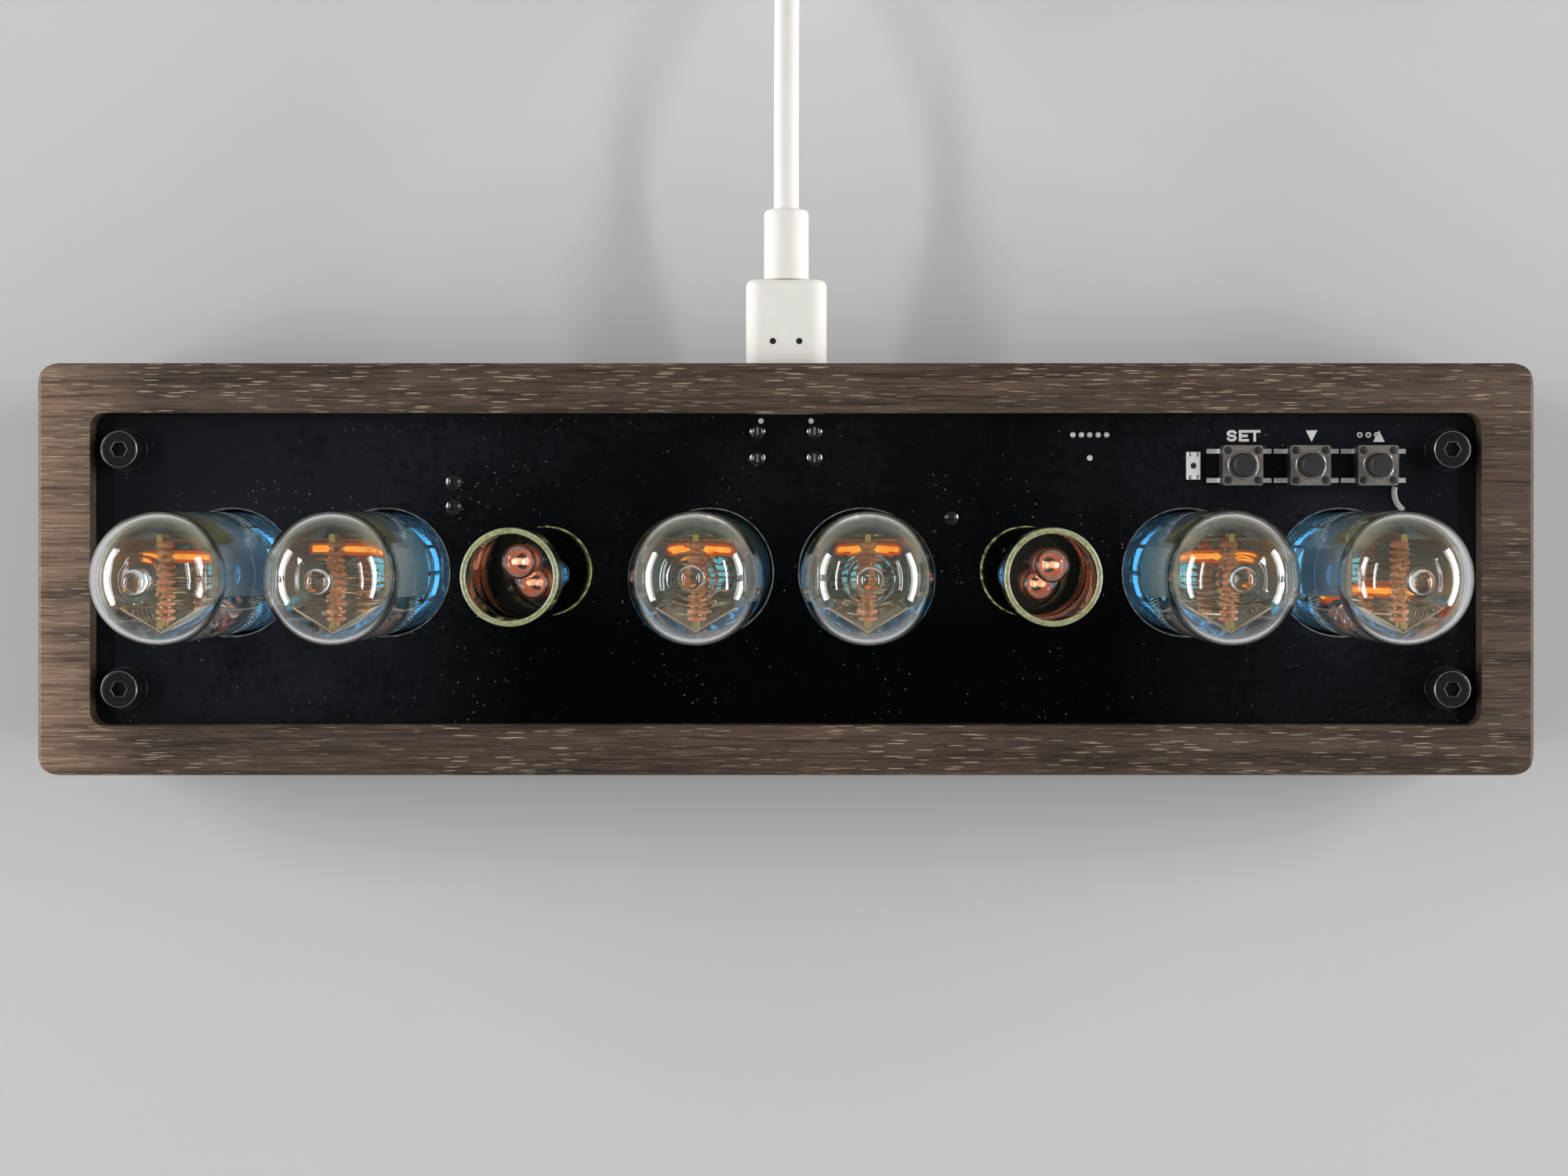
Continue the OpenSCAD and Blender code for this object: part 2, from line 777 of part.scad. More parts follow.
// chip with rows of legs, hanging below the lower board
module chip(size) {
    translate([0, 0, -size[2] - chip_gap]) linear_extrude(size[2])
        square([size[0], size[1]], center = true);
    for (i = [0:leg_pairs - 1], s = [-1, 1])
        translate([
            (i - (leg_pairs - 1) / 2) * size[0] / leg_pairs,
            s * (size[1] + leg_l) / 2 - s * chip_gap,
            -leg_h / 2
        ])
            cube([leg_w, leg_l, leg_h], center = true);
}

module controller_chip() {
    color([0.13, 0.13, 0.14]) translate([colon_x[1], controller_y, lower_under]) chip(controller_size);
}

module driver_chips() {
    color([0.13, 0.13, 0.14]) for (s = [-1, 1])
        translate([colon_x[0], s * driver_y, lower_under]) chip(driver_size);
}

module inductor() {
    color([0.2, 0.2, 0.21]) translate([colon_x[1] - 3, lower_w / 4 + 1.5, lower_under - coil_block[2]]) {
        linear_extrude(coil_block[2]) rounded(coil_block[0], coil_block[1], coil_block_r);
        translate([0, 0, -coil_cap_h]) cylinder(r = coil_cap_r, h = coil_cap_h + 0.1);
    }
}

module reservoir_capacitor() {
    color([0.15, 0.2, 0.35])
        translate([-capacitor_l / 2, capacitor_y, lower_under - capacitor_r - seat_gap])
            rotate([0, 90, 0]) cylinder(r = capacitor_r, h = capacitor_l);
}

module cell_holder() {
    tall = cell_h + cell_cover + 2 * chip_gap;
    color([0.2, 0.2, 0.2]) translate([tube_x[2], holder_y, lower_under - tall]) difference() {
        linear_extrude(tall) rounded(holder_size[0], holder_size[1], holder_r);
        translate([0, 0, -1]) cylinder(r = cell_r + chip_gap, h = 1 + cell_h + 2 * chip_gap);
    }
}

module backup_cell() {
    color([0.8, 0.8, 0.8]) translate([tube_x[2], holder_y, lower_under - cell_h - cell_cover - chip_gap])
        cylinder(r = cell_r, h = cell_h);
}

// ---- indicator tubes ----

module lead_circle() {
    for (i = [0:lead_count - 1]) rotate([0, 0, 360 * i / lead_count]) translate([lead_ring_r, 0, 0])
        children();
}

// half outline of the shoulder, an ellipse quarter from the wall to the axis
function shoulder(r, h, a_end, steps) =
    [for (i = [0:steps]) let (a = a_end * i / steps) [r * cos(a), shoulder_z + h * sin(a)]];

function tip_outline(r, steps) =
    let (z0 = tube_foot + tube_h - 0.2, h = tip_h + 0.2)
        [for (i = [0:steps]) let (a = 90 * i / steps) [r * cos(a), z0 + h * sin(a)]];

module tube_glass(n) {
    knob_r = 1.7;
    color([0.75, 0.85, 0.9, 0.35]) translate([tube_x[n - 1], tube_y, 0]) rotate_extrude() polygon(concat(
        [[tube_inner_r, tube_foot], [tube_r, tube_foot]],
        shoulder(tube_r, shoulder_h, 79, 9),
        tip_outline(knob_r, 5),
        [for (i = [9:-1:0]) shoulder(tube_inner_r, shoulder_h - glass_wall, 90, 9)[i]]
    ));
}

module tube_stems() {
    color([0.8, 0.86, 0.88, 0.6]) at_tubes() difference() {
        union() {
            translate([0, 0, tube_foot]) cylinder(r = tube_inner_r - seat_gap, h = stem_t);
            translate([0, 0, tube_foot + stem_t - 0.5]) cylinder(r1 = 3.6, r2 = 2.2, h = 2.5);
        }
        lead_circle() translate([0, 0, tube_foot - 1]) cylinder(r = lead_r + seat_gap, h = stem_t + 2);
    }
}

module tube_leads() {
    low = lower_under - lead_tail;
    color([0.7, 0.7, 0.7]) at_tubes() lead_circle() translate([0, 0, low])
        cylinder(r = lead_r, h = mica_low - seat_gap - low);
}

module lead_spacers() {
    color([0.9, 0.9, 0.88]) at_tubes() difference() {
        ring(tube_r - 0.4, lead_ring_r - 1.7, lead_spacer_h - 2 * seat_gap, lower_top + seat_gap);
        lead_circle() translate([0, 0, lower_top - 1])
            cylinder(r = lead_r + bore_clear, h = lead_spacer_h + 2);
    }
}

// thin sheet that touches the glass behind and at the sides, and is pointed in front
module mica_outline() {
    intersection() {
        circle(r = mica_r);
        polygon([
            [-mica_r, mica_r], [mica_r, mica_r], [mica_r, -mica_r * 0.4], [5.6, -4],
            [0, -mica_r + 0.4], [-5.6, -4], [-mica_r, -mica_r * 0.4]
        ]);
    }
}

module mica_plates() {
    color([0.62, 0.55, 0.42, 0.6]) at_tubes() for (z = [mica_low, mica_top - mica_t])
        translate([0, 0, z]) linear_extrude(mica_t) mica_outline();
}

// rod with ceramic beads between the digits' eyelets
module digit_rod(z) {
    half = digit_t / 2 + 0.01;
    beads = concat(
        [[shield_y - shield_t - 0.05, digit_back + half]],
        [for (i = [0:digit_count - 2])
            [digit_back - i * digit_pitch - half, digit_back - (i + 1) * digit_pitch + half]],
        [[digit_back - (digit_count - 1) * digit_pitch - half, digit_back - digit_count * digit_pitch]]
    );
    translate([0, 0, z]) rotate([-90, 0, 0]) rotate_extrude() polygon(concat(
        [[0, rod_front], [rod_r, rod_front]],
        [for (i = [len(beads) - 1:-1:0]) let (b = beads[i])
            each [[rod_r, b[1]], [bead_r, b[1]], [bead_r, b[0]], [rod_r, b[0]]]],
        [[rod_r, rod_back], [0, rod_back]]
    ));
}

module digit_rods() {
    color([0.72, 0.5, 0.42]) at_tubes() for (s = [-1, 1]) digit_rod(digit_z + s * eyelet_out);
}

// straight and curved strokes of a digit
module stroke(a, b) {
    d = b - a;
    translate(a) rotate(atan2(d[1], d[0])) translate([0, -digit_line / 2]) square([norm(d), digit_line]);
    translate(b) circle(d = digit_line, $fn = 24);
    translate(a) circle(d = digit_line, $fn = 24);
}

module bend(at, r, from, to) {
    reach = 2 * r;
    steps = 6;
    translate(at) intersection() {
        difference() {
            circle(r = r + digit_line / 2);
            circle(r = r - digit_line / 2);
        }
        polygon(concat([[0, 0]], [for (i = [0:steps]) let (a = from + (to - from) * i / steps)
            [reach * cos(a), reach * sin(a)]]));
    }
}

// the ten digits, centred, between the heights -h and h
module digit(n) {
    h = digit_h / 2 - digit_line / 2;
    w = digit_h / 4;
    if (n == 0) {
        bend([0, h - w], w, 0, 180);
        bend([0, w - h], w, 180, 360);
        for (x = [-w, w]) stroke([x, w - h], [x, h - w]);
    } else if (n == 1) {
        stroke([0, -h], [0, h]);
        stroke([0, h], [-w * 0.6, h - w * 0.6]);
    } else if (n == 2) {
        bend([0, h - w], w, -20, 165);
        stroke([w * cos(20), h - w - w * sin(20)], [-w, -h]);
        stroke([-w, -h], [w, -h]);
    } else if (n == 3) {
        bend([0, h - w * 0.95], w * 0.95, -90, 155);
        bend([0, w * 1.01 - h], w * 1.01, -155, 90);
    } else if (n == 4) {
        stroke([w * 0.55, -h], [w * 0.55, h]);
        stroke([w * 0.55, h], [-w, -h * 0.4]);
        stroke([-w, -h * 0.4], [w, -h * 0.4]);
    } else if (n == 5) {
        stroke([w * 0.85, h], [-w * 0.8, h]);
        stroke([-w * 0.8, h], [-w * 0.8, 0]);
        bend([-0.05 * w, w * 1.08 - h], w * 1.08, -155, 135);
    } else if (n == 6 || n == 9) rotate(n == 6 ? 0 : 180) {
        bend([0, w - h], w, 0, 180);
        bend([0, w - h], w, 180, 360);
        stroke([-w * cos(12), w - h + w * sin(12)], [w * 0.5, h]);
    } else if (n == 7) {
        stroke([-w, h], [w, h]);
        stroke([w, h], [-w * 0.35, -h]);
    } else {
        bend([0, h - w * 0.92], w * 0.92, -90, 90);
        bend([0, h - w * 0.92], w * 0.92, 90, 270);
        bend([0, w * 1.04 - h], w * 1.04, -90, 90);
        bend([0, w * 1.04 - h], w * 1.04, 90, 270);
    }
}

// where the strip to the upper and the lower eyelet leaves each digit, as a share of its half width
upper_strip = [0, 0, 0, 0, 0.55, 0, 0.5, 0, 0, 0];
lower_strip = [0, 0, 0, 0, 0.55, 0, 0, -0.35, 0, -0.5];

module digit_plate(n) {
    h = digit_h / 2 - digit_line / 2;
    w = digit_h / 4;
    difference() {
        union() {
            digit(n);
            stroke([w * upper_strip[n], h], [0, eyelet_out]);
            stroke([w * lower_strip[n], -h], [0, -eyelet_out]);
            for (s = [-1, 1]) translate([0, s * eyelet_out]) circle(r = eyelet_r);
        }
        for (s = [-1, 1]) translate([0, s * eyelet_out]) circle(r = rod_r + seat_gap);
    }
}

module digit_cathodes() {
    color([0.78, 0.72, 0.62]) at_tubes() for (i = [0:digit_count - 1])
        translate([0, digit_back - i * digit_pitch + digit_t / 2, digit_z]) rotate([90, 0, 0])
            linear_extrude(digit_t) digit_plate(digit_order[i]);
}

module anode_meshes() {
    low = mica_low + mica_t + seat_gap;
    tall = mica_top - mica_t - seat_gap - low;
    row = tall / mesh_rows;
    color([0.6, 0.6, 0.58]) at_tubes() translate([0, 0, low]) difference() {
        linear_extrude(tall) polygon([
            [-mesh_x, -mesh_y], [0, -mesh_tip], [mesh_x, -mesh_y],
            [mesh_x, -mesh_y + mesh_t], [0, -mesh_tip + mesh_t], [-mesh_x, -mesh_y + mesh_t]
        ]);
        for (s = [-1, 1], i = [0:mesh_rows - 1])
            translate([s * mesh_x / 2, -mesh_tip / 2, (i + 0.5) * row])
                cube([mesh_x * 0.84, mesh_tip, row - 0.35], center = true);
    }
}

module back_shields() {
    low = mica_low + mica_t + seat_gap;
    tall = mica_top - mica_t - seat_gap - low;
    t = shield_t;
    x = shield_x;
    y = shield_y;
    color([0.55, 0.56, 0.56]) at_tubes() difference() {
        translate([0, 0, low]) linear_extrude(tall) difference() {
            polygon([
                [-x, -2.5], [-x, y - 1.8], [1.6 - x, y], [x - 1.6, y], [x, y - 1.8], [x, -2.5]
            ]);
            polygon([
                [t - x, -3], [t - x, y - 1.8 - t / 2], [1.6 - x + t / 2, y - t],
                [x - 1.6 - t / 2, y - t], [x - t, y - 1.8 - t / 2], [x - t, -3]
            ]);
        }
        for (s = [-1, 1]) translate([0, y - 1, digit_z + s * eyelet_out]) rotate([-90, 0, 0])
            cylinder(r = rod_r + seat_gap, h = 2);
    }
}

// upright rings behind the shields, facing the glass
module getter_rings() {
    color([0.6, 0.6, 0.6]) at_tubes()
        translate([0, shield_y + seat_gap + getter_wire, mica_top - getter_below_mica])
            rotate([90, 0, 0]) rotate_extrude() translate([getter_r, 0]) circle(r = getter_wire);
}

// ---- colon tubes ----

module colon_glass(i) {
    color([0.8, 0.85, 0.8, 0.4]) translate([colon_x[i], colon_y, 0])
        ring(colon_d / 2, colon_d / 2 - colon_wall, board_top + colon_h - lower_top - seat_gap,
            lower_top + seat_gap);
}

module at_lamps() {
    for (i = [0, 1]) {
        translate([colon_x[i] + upper_lamp_at[i][0], colon_y + upper_lamp_at[i][1],
            board_top + upper_lamp_top]) children();
        translate([colon_x[i] + lower_lamp_at[i][0], colon_y + lower_lamp_at[i][1],
            board_top + lower_lamp_top]) children();
    }
}

module at_lamp_wires() {
    for (i = [0, 1], at = [upper_lamp_at[i], lower_lamp_at[i]], s = [-1, 1])
        translate([colon_x[i] + at[0] + s * lamp_wire_apart / 2, colon_y + at[1], 0]) children();
}

// closed bulb whose tip is at z = 0, with a solid pinch at its foot
module neon_bulbs() {
    r = lamp_d / 2;
    pinch = 1.6;
    color([0.9, 0.75, 0.65, 0.5]) at_lamps() difference() {
        union() {
            translate([0, 0, -lamp_l]) cylinder(r = r, h = lamp_l - r);
            translate([0, 0, -r]) sphere(r = r);
        }
        translate([0, 0, pinch - lamp_l]) cylinder(r = r - lamp_wall, h = lamp_l - r - pinch);
        translate([0, 0, -r]) sphere(r = r - lamp_wall);
        for (s = [-1, 1]) translate([s * lamp_wire_apart / 2, 0, -lamp_l - 1])
            cylinder(r = lamp_wire_r + seat_gap, h = pinch + 2);
    }
}

// lead wires that end as thick electrodes inside the bulb
module neon_electrodes() {
    electrode_l = 6;
    color([0.85, 0.5, 0.3]) for (i = [0, 1], k = [0, 1], s = [-1, 1]) {
        at = k == 0 ? upper_lamp_at[i] : lower_lamp_at[i];
        top = board_top + (k == 0 ? upper_lamp_top : lower_lamp_top) - 2.6;
        low = lower_under - lead_tail;
        translate([colon_x[i] + at[0] + s * lamp_wire_apart / 2, colon_y + at[1], 0]) {
            translate([0, 0, low]) cylinder(r = lamp_wire_r, h = top - low);
            translate([0, 0, top - electrode_l]) cylinder(r = 0.45, h = electrode_l);
        }
    }
}

// ---- power cable ----

module cable_plug() {
    color([0.93, 0.92, 0.9]) difference() {
        bar_y(plug_w, plug_t, plug_r, plug_front, plug_back, 0, usb_z);
        for (s = [-1, 1]) translate([s * dimple_apart / 2, dimple_at, usb_z + plug_t / 2 - 0.4])
            cylinder(r = dimple_r, h = 1);
    }
}

module cable_plug_shell() {
    y0 = plug_front - shell_in;
    color([0.8, 0.8, 0.82]) difference() {
        bar_y(shell_w, shell_h, shell_h / 2 - 0.1, y0, plug_front, 0, usb_z);
        bar_y(shell_bore_w, shell_bore_h, shell_bore_h / 3, y0 - 1, plug_front - 0.8, 0, usb_z);
    }
}

module strain_relief() {
    color([0.92, 0.91, 0.89]) translate([0, relief_end, usb_z]) rotate([90, 0, 0])
        cylinder(r1 = relief_d / 2 - 0.15, r2 = relief_d / 2, h = relief_l);
}

lead_drop = usb_z - lead_points[0][2];
lead_route = [for (p = lead_points) [
    p[0],
    relief_end + p[1] * (lead_end[1] - relief_end) / lead_points[len(lead_points) - 1][1],
    p[2] + lead_drop * (p[2] - coil_low) / (lead_points[0][2] - coil_low)
]];
module cord_lead() {
    color([0.93, 0.92, 0.9]) swept(lead_route, cord_d, 8);
}

// the coil spirals in below and out above, and climbs where the spiral turns back
function reach_at(t) = coil_inner + coil_pitch * sqrt(pow(t - coil_half, 2) + 0.0004);
function climb(u) = let (c = min(max(u, 0), 1)) c * c * (3 - 2 * c);
function coil_point(t) =
    let (r = reach_at(t), a = 180 - 360 * t)
        [coil_x + r * cos(a), coil_y + r * sin(a),
            coil_low + coil_pitch * climb((t - coil_half) * 2 + 0.5)];
coil_count = coil_turns * coil_steps;
coil_route = concat(
    [lead_end],
    [for (i = [0:coil_count]) coil_point(i / coil_steps)],
    [coil_point(coil_turns) + [cord_d, 0, 0]]
);
module cord_coil() {
    color([0.93, 0.92, 0.9]) swept(coil_route, cord_d, 6);
}

coil_end = coil_route[len(coil_route) - 1];
tail_route = concat(
    [coil_end],
    [for (p = tail_points) [
        coil_x + p[0],
        coil_y + coil_outer + p[1],
        coil_low + coil_pitch + p[2]
            + (far_z - coil_low - coil_pitch - tail_last[2]) * (p[0] - tail_points[0][0])
                / (tail_last[0] - tail_points[0][0])
    ]]
);
module cord_tail() {
    color([0.93, 0.92, 0.9]) swept(tail_route, cord_d, 8);
}

// hook-and-loop strap round the turns, on the side that faces the clock
module coil_tie() {
    // the tie holds the turns three quarters of a turn after each full one
    y0 = coil_y - reach_at(coil_turns - 0.5) - cord_d / 2 - tie_clear;
    y1 = coil_y - reach_at(coil_half - 0.375) + cord_d / 2 + 2 * tie_clear;
    top = coil_low + coil_pitch + cord_d / 2;
    color([0.15, 0.15, 0.16]) difference() {
        translate([coil_x - tie_w / 2, y0 - tie_t, 0.02]) cube([tie_w, y1 - y0 + 2 * tie_t, top + 0.6]);
        translate([coil_x - tie_w, y0, tie_t]) cube([2 * tie_w, y1 - y0, top - tie_t + 0.1]);
    }
}

module supply_plug() {
    color([0.93, 0.92, 0.9]) {
        translate([far_x, far_y, far_z]) rotate([90, 0, 0])
            cylinder(r1 = far_relief_r - 0.6, r2 = far_relief_r, h = far_relief_l);
        bar_y(far_w, far_t, 2, far_y - far_relief_l - far_l, far_y - far_relief_l, far_x, far_z);
    }
}

module supply_plug_shell() {
    y1 = far_y - far_relief_l - far_l;
    color([0.8, 0.8, 0.82]) difference() {
        bar_y(far_shell_w, far_shell_h, 0.4, y1 - far_shell_l, y1, far_x, far_z);
        translate([far_x, y1 - far_shell_l / 2 - 1, far_z + 0.8])
            cube([far_shell_w - 0.7, far_shell_l, 2.1], center = true);
    }
}

// least gap between turns, and the length of the whole cord
function route_length(p) = len(p) < 2 ? 0 : [for (i = 0, s = 0; i < len(p); s = s + (i < len(p) - 1 ?
    norm(p[i + 1] - p[i]) : 0), i = i + 1) s][len(p) - 1];
coil_least_gap = min([
    for (i = [0:len(coil_route) - 1]) for (j = [i + coil_steps / 2:1:len(coil_route) - 1])
        norm(coil_route[i] - coil_route[j])
]) - cord_d;
echo(coil_least_gap = coil_least_gap);
echo(cord_length = route_length(lead_route) + route_length(coil_route) + route_length(tail_route));

// ---- assembly ----

case_frame();
threaded_inserts();
bottom_cover();
cover_screws();
rubber_feet();
top_board();
washers();
corner_screws();
tube_board();
board_spacers();
spacer_screws();
board_header();
header_pins();
usb_receptacle();
solder_joints();
contact_pads();
switch_bases();
switch_covers();
switch_domes();
switch_terminals();
plunger(-1);  // plunger_set
plunger(0);  // plunger_down
plunger(1);  // plunger_up
light_sensor();
sensor_wire();
underlights();
controller_chip();
driver_chips();
inductor();
reservoir_capacitor();
cell_holder();
backup_cell();
tube_glass(1);  // tube_glass_1
tube_glass(2);  // tube_glass_2
tube_glass(3);  // tube_glass_3
tube_glass(4);  // tube_glass_4
tube_glass(5);  // tube_glass_5
tube_glass(6);  // tube_glass_6
tube_stems();
tube_leads();
lead_spacers();
digit_cathodes();
digit_rods();
mica_plates();
anode_meshes();
back_shields();
getter_rings();
colon_glass(0);  // colon_glass_left
colon_glass(1);  // colon_glass_right
neon_bulbs();
neon_electrodes();
cable_plug();
cable_plug_shell();
strain_relief();
cord_lead();
cord_coil();
cord_tail();
coil_tie();
supply_plug();
supply_plug_shell();
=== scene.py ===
"""Looks of the nixie tube clock, built round its CAD frame: wood, boards, glass, lit digits and cable."""
import json
import math
from contextlib import contextmanager

import bmesh
import bpy
from bpy.props import FloatProperty, FloatVectorProperty, IntProperty, StringProperty
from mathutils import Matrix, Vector

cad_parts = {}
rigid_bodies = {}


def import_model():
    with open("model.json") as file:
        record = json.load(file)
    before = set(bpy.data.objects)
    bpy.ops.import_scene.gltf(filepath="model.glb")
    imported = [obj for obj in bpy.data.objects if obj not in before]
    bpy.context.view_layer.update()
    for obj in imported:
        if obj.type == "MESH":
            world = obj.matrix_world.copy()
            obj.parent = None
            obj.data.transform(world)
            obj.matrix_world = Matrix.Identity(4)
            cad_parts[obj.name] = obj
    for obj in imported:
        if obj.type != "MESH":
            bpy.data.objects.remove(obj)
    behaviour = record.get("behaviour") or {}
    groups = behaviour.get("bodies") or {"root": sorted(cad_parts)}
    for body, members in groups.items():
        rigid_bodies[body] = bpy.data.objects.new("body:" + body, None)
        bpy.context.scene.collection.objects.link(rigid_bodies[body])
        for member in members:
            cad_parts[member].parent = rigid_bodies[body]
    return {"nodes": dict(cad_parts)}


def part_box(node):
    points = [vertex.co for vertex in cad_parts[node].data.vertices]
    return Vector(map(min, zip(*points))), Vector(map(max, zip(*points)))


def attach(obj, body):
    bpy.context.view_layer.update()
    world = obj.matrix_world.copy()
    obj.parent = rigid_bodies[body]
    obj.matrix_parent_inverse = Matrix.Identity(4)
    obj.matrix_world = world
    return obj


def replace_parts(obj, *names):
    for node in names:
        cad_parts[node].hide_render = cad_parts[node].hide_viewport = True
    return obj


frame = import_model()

bl_info = {
    "name": "Nixie tube clock",
    "version": (1, 0, 0),
    "blender": (4, 5, 0),
    "location": "3D View > Sidebar > Clock",
    "description": "Dresses the clock's frame with its finished pieces",
    "category": "Object",
}

# ---- places taken from the frame, in millimetres ----

MM = 0.001


def span(node):
    """A node's lowest and highest corners in millimetres."""
    low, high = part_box(node)
    return Vector(low) / MM, Vector(high) / MM


def middle(node):
    low, high = span(node)
    return (low + high) / 2


def half_width(node):
    low, high = span(node)
    return (high.x - low.x) / 2


BOARD_TOP = span("top_board")[1].z
TUBES = [middle(f"tube_glass_{n}") for n in range(1, 7)]
TUBE_FOOT, TUBE_TOP = (corner.z for corner in span("tube_glass_1"))
TUBE_R = half_width("tube_glass_1")
COLONS = [middle("colon_glass_left"), middle("colon_glass_right")]
COLON_LOW, COLON_HIGH = (corner.z for corner in span("colon_glass_left"))
COLON_R = half_width("colon_glass_left")
BUTTONS = {"plunger_set": "set_button", "plunger_down": "down_button", "plunger_up": "up_button"}
SWITCHES = [middle(node) for node in BUTTONS]
MICA_LOW, MICA_HIGH = (corner.z for corner in span("mica_plates"))
PLUG_LOW, PLUG_HIGH = span("cable_plug")
SUPPLY_LOW, SUPPLY_HIGH = span("supply_plug")
CLOCK = "clock"


# ---- settings ----

def number(name, description, default):
    return FloatProperty(name=name, description=description, default=default)


def tint(name, description, default):
    return FloatVectorProperty(name=name, description=description, subtype="COLOR", default=default)


class ClockSizes(bpy.types.PropertyGroup):
    """Sizes that shape the finished pieces, in millimetres."""
    glass_wall: number("Glass wall", "Wall of an indicator tube", 0.8)
    shoulder: number("Shoulder", "Height of a tube's domed end", 8.0)
    tip_width: number("Tip width", "Diameter of the sealed glass tip", 3.4)
    colon_wall: number("Colon wall", "Wall of a colon tube", 0.8)
    digit_height: number("Digit height", "Height of a lit digit", 18.0)
    digit_line: number("Digit line", "Width of a digit's wire", 0.6)
    glow_line: number("Glow line", "Diameter of a lit wire's bright core", 0.82)
    haze_line: number("Haze line", "Diameter of the faint glow round it", 1.9)
    first_digit: number("First digit", "Place of the rearmost digit", 3.9)
    digit_pitch: number("Digit pitch", "Distance between two digits", 1.0)
    mesh_cell: number("Mesh cell", "Width of a hexagon in the anode mesh", 1.05)
    mesh_wire: number("Mesh wire", "Radius of the anode mesh's wire", 0.045)
    edge: number("Case edge", "Rounding of the wooden edges", 0.4)
    cord_diameter: number("Cord", "Diameter of the white cord", 3.8)
    cord_length: number("Cord length", "Length of the white cord", 1000.0)
    letter_height: number("Letter height", "Height of the white marks", 1.75)


class ClockColours(bpy.types.PropertyGroup):
    """Colours of the finishes."""
    wood_dark: tint("Wood, dark", "Darker grain of the case", (0.028, 0.018, 0.012))
    wood_light: tint("Wood, light", "Lighter grain of the case", (0.115, 0.075, 0.05))
    pore: tint("Pores", "Pale flecks in the grain", (0.42, 0.33, 0.23))
    board: tint("Board", "Glossy mask of the top board", (0.0006, 0.0008, 0.001))
    glow: tint("Glow", "Light of a lit digit", (1.0, 0.5, 0.045))
    underlight: tint("Underlight", "Light below the tubes", (0.11, 0.5, 0.92))
    cable: tint("Cable", "White of the cable", (0.82, 0.79, 0.74))
    floor: tint("Floor", "Pale floor", (0.6, 0.6, 0.6))


def sizes():
    return bpy.context.scene.clock_sizes


def colours():
    return bpy.context.scene.clock_colours


# ---- nodes ----

def feed(tree, socket, value):
    """Links a socket to another node's output, or gives it a plain value."""
    if isinstance(value, bpy.types.NodeSocket):
        tree.links.new(value, socket)
    elif socket.type == "RGBA" and len(value) == 3:
        socket.default_value = (*value, 1)
    else:
        socket.default_value = value


def add_node(tree, kind, inputs, attributes):
    made = tree.nodes.new(kind)
    for name, value in attributes.items():
        setattr(made, name, value)
    for key, value in dict(inputs).items():
        feed(tree, made.inputs[key], value)
    return made


# ---- materials ----

